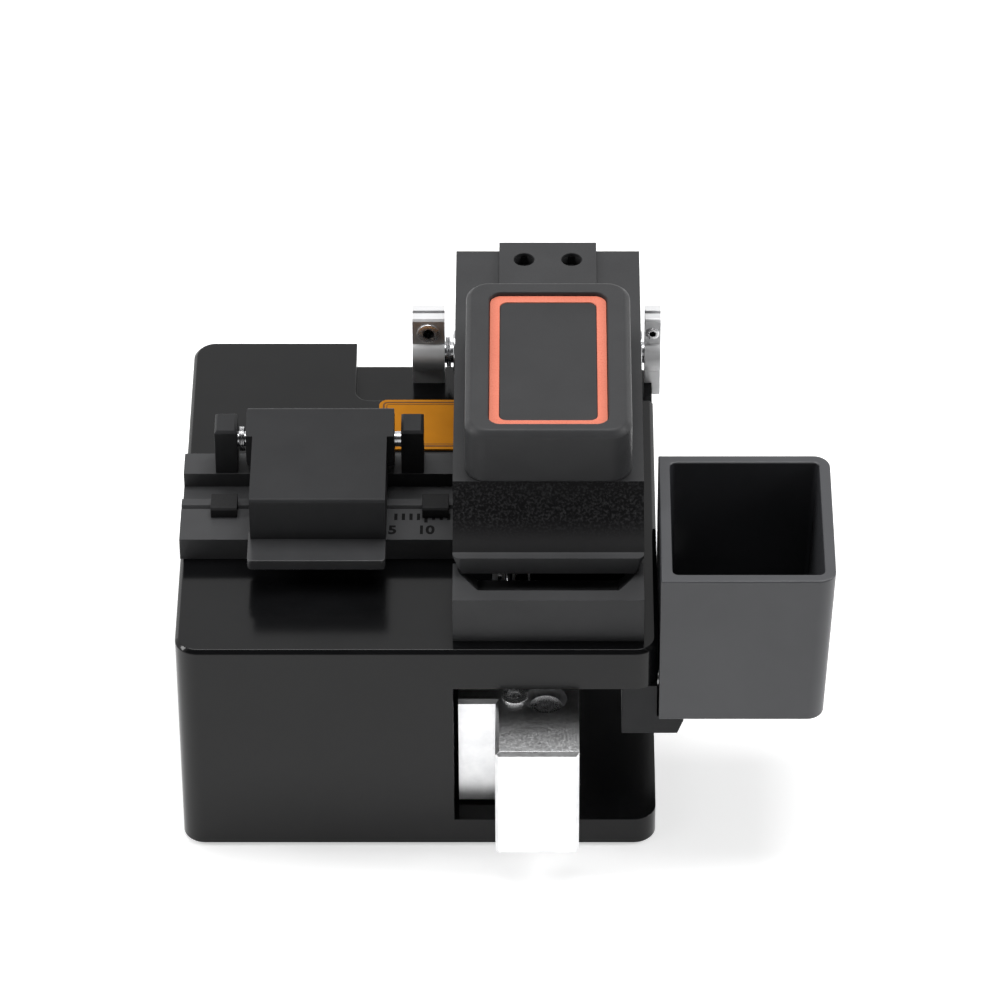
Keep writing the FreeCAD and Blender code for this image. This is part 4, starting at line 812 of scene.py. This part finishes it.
def raised_text(name, words, size, place, material, body, slot):
    """Lettering as a mesh: the outline is filled and given its thickness, then moved to its place."""
    curve = bpy.data.curves.new(name, "FONT")
    curve.body = words
    curve.size = size
    curve.extrude = INK / 2
    curve.offset = size * STROKE
    curve.align_x = "CENTER"
    source = bpy.data.objects.new(name + "_source", curve)
    mesh = bpy.data.meshes.new_from_object(source)
    bpy.data.objects.remove(source)
    bpy.data.curves.remove(curve)
    mesh.name = name
    mesh.transform(Matrix.Translation(place))
    paint(mesh, material)
    obj = bpy.data.objects.new(name, mesh)
    bpy.context.scene.collection.objects.link(obj)
    return settle(obj, body, slot)


for number in (5, 10):
    place = (TICK_ZERO - number * MM, groove_y - NUMBER_LINE, bed_high.z + INK / 2)
    raised_text("scale_number_" + str(number), str(number + 5), NUMBER_SIZE, place, ENGRAVED, "base",
                "black_anodised")


def border(name, node, inset, width, corner, material, body, slot):
    """A thin raised line on a rounded plate, inset from its edge."""
    low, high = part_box(node)
    step = Vector((inset, inset, 0))
    bm = bmesh.new()
    corners = rectangle(bm, low + step, high - step, high.z)
    bmesh.ops.bevel(bm, geom=corners, offset=max(corner - inset, LEAST_CORNER), offset_type="OFFSET",
                    affect="VERTICES", segments=BORDER_STEPS, profile=0.5, material=-1)
    inner = bm.faces[:]
    bmesh.ops.inset_region(bm, faces=inner, thickness=width, use_even_offset=True, use_boundary=True)
    bmesh.ops.delete(bm, geom=inner, context="FACES")
    lift_faces(bm, bm.faces[:], INK)
    return settle(new_piece(name, bm, material), body, slot)


border("notice_line", "notice_plate", 0.50 * MM, 0.24 * MM, 1.2 * MM, NOTICE_LINE, "base",
       "notice_orange")
border("notice_line_inner", "notice_plate", 1.00 * MM, 0.10 * MM, 1.3 * MM, NOTICE_LINE, "base",
       "notice_orange")

# %% [markdown]
# ## Set screw
# The height screw beside the nose's counterbore has a domed head.

# %% Set screw
SET_SHANK_R = 1.40 * MM
SET_SOCKET = 1.5 * MM
SET_CHAMFER = 0.4 * MM
levels, place = along(islands("blade_set_screw")[0], "z", 1)
set_part = make_screw(SET_SHANK_R, max(r for _, r in levels), levels[0][0],
                      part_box("slider_block")[1].z, levels[-1][0], SET_SOCKET, SET_CHAMFER)
set_bm = bmesh.new()
join(set_bm, set_part, place)
settle(new_piece("blade_set_screw_turned", set_bm, PLATED), "slider", "screw_steel",
       "blade_set_screw")

# %% [markdown]
# ## Studio
# A pale floor that fades into a white surround, a large light above and two soft lights at the sides.
# The surround is white to the camera. To the pieces it is dimmer, and dark above the camera's side, so
# front edges stay crisp.

# %% Studio
WHITE = 1.0
SHADED = 0.06
FILL = 0.30
FLOOR_TONE = 0.78
FLOOR_GLOW = 0.12
FLOOR_SEEN = 0.42
FLOOR_RADIUS = 2.5
FLOOR_STEPS = 96
AHEAD = (-0.10, -0.45)
ABOVE = (0.25, 0.55)

floor_material = bpy.data.materials.new("studio_floor")
floor_material.use_nodes = True
floor_tree = floor_material.node_tree
floor_shader = floor_tree.nodes["Principled BSDF"]
for label, value in (("Base Color", (FLOOR_TONE, FLOOR_TONE, FLOOR_TONE, 1.0)), ("Roughness", 0.9),
                     ("Emission Color", (1, 1, 1, 1)), ("Specular IOR Level", 0.0)):
    floor_shader.inputs[label].default_value = value
path = add(floor_tree, "ShaderNodeLightPath")
straight = combine(floor_tree, "ADD", path.outputs["Is Camera Ray"], path.outputs["Is Glossy Ray"])
glow = remap(floor_tree, straight, 0.0, 1.0, FLOOR_GLOW, FLOOR_GLOW + FLOOR_SEEN)
floor_tree.links.new(glow, floor_shader.inputs["Emission Strength"])
floor_bm = bmesh.new()
bmesh.ops.create_circle(floor_bm, cap_ends=True, segments=FLOOR_STEPS, radius=FLOOR_RADIUS)
new_piece("studio_floor", floor_bm, floor_material)

world = bpy.data.worlds.new("surround")
bpy.context.scene.world = world
world.use_nodes = True
tree = world.node_tree
tree.nodes.clear()
direction = add(tree, "ShaderNodeTexCoord")
axes = add(tree, "ShaderNodeSeparateXYZ", Vector=direction.outputs["Generated"])
ahead = remap(tree, axes.outputs["Y"], *AHEAD, smooth=True)
above = remap(tree, axes.outputs["Z"], *ABOVE, smooth=True)
hood = combine(tree, "MULTIPLY", ahead, above)
path = add(tree, "ShaderNodeLightPath")
fill = remap(tree, path.outputs["Is Diffuse Ray"], 0.0, 1.0, 1.0, FILL)
strength = combine(tree, "MULTIPLY", remap(tree, hood, 0.0, 1.0, WHITE, SHADED), fill)
seen = add(tree, "ShaderNodeBackground", Color=(1, 1, 1, 1), Strength=WHITE)
studio = add(tree, "ShaderNodeBackground", Color=(1, 1, 1, 1), Strength=strength)
mix = add(tree, "ShaderNodeMixShader", in_0=path.outputs["Is Camera Ray"], in_1=studio.outputs[0],
          in_2=seen.outputs[0])
add(tree, "ShaderNodeOutputWorld", Surface=mix.outputs[0])

middle = Vector(cad_box[0]).lerp(Vector(cad_box[1]), 0.5)


def panel(name, centre, size, radiance):
    """A rectangular light that faces the object; radiance is how bright it looks in a mirror."""
    data = bpy.data.lights.new(name, "AREA")
    data.shape = "RECTANGLE"
    data.size, data.size_y = size
    data.energy = radiance * math.pi * size[0] * size[1]
    obj = bpy.data.objects.new(name, data)
    obj.location = middle + Vector(centre)
    obj.rotation_euler = (middle - obj.location).to_track_quat("-Z", "Y").to_euler()
    bpy.context.scene.collection.objects.link(obj)


panel("light_top", (0.0, 0.22, 1.10), (0.9, 0.45), 7.3)
panel("light_left", (-1.08, -0.10, 0.72), (0.34, 0.44), 13.0)
panel("light_right", (1.08, -0.10, 0.72), (0.34, 0.44), 13.0)

# %% [markdown]
# ## Camera
# A small object seen from nearly a metre away with a long lens shows almost parallel edges. The camera
# looks down at forty degrees. Its place is counted from the front left foot of the base, so it follows
# the base.

# %% Camera
CAMERA_DOWN = math.radians(39.907)
CAMERA_FROM_CORNER = Vector((47.02, -592.69, 553.95)) * MM
camera_data = bpy.data.cameras.new("camera")
camera_data.sensor_width = 36.0
camera_data.lens = 218.66
camera_data.shift_x = -0.0358
camera_data.shift_y = 0.0075
camera_data.clip_start = 0.01
camera = bpy.data.objects.new("camera", camera_data)
camera.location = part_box("base_body")[0] + CAMERA_FROM_CORNER
camera.rotation_euler = (math.pi / 2 - CAMERA_DOWN, 0.0, 0.0)
scene = bpy.context.scene
scene.collection.objects.link(camera)
scene.camera = camera
scene.view_settings.view_transform = "Standard"
scene.view_settings.look = "None"
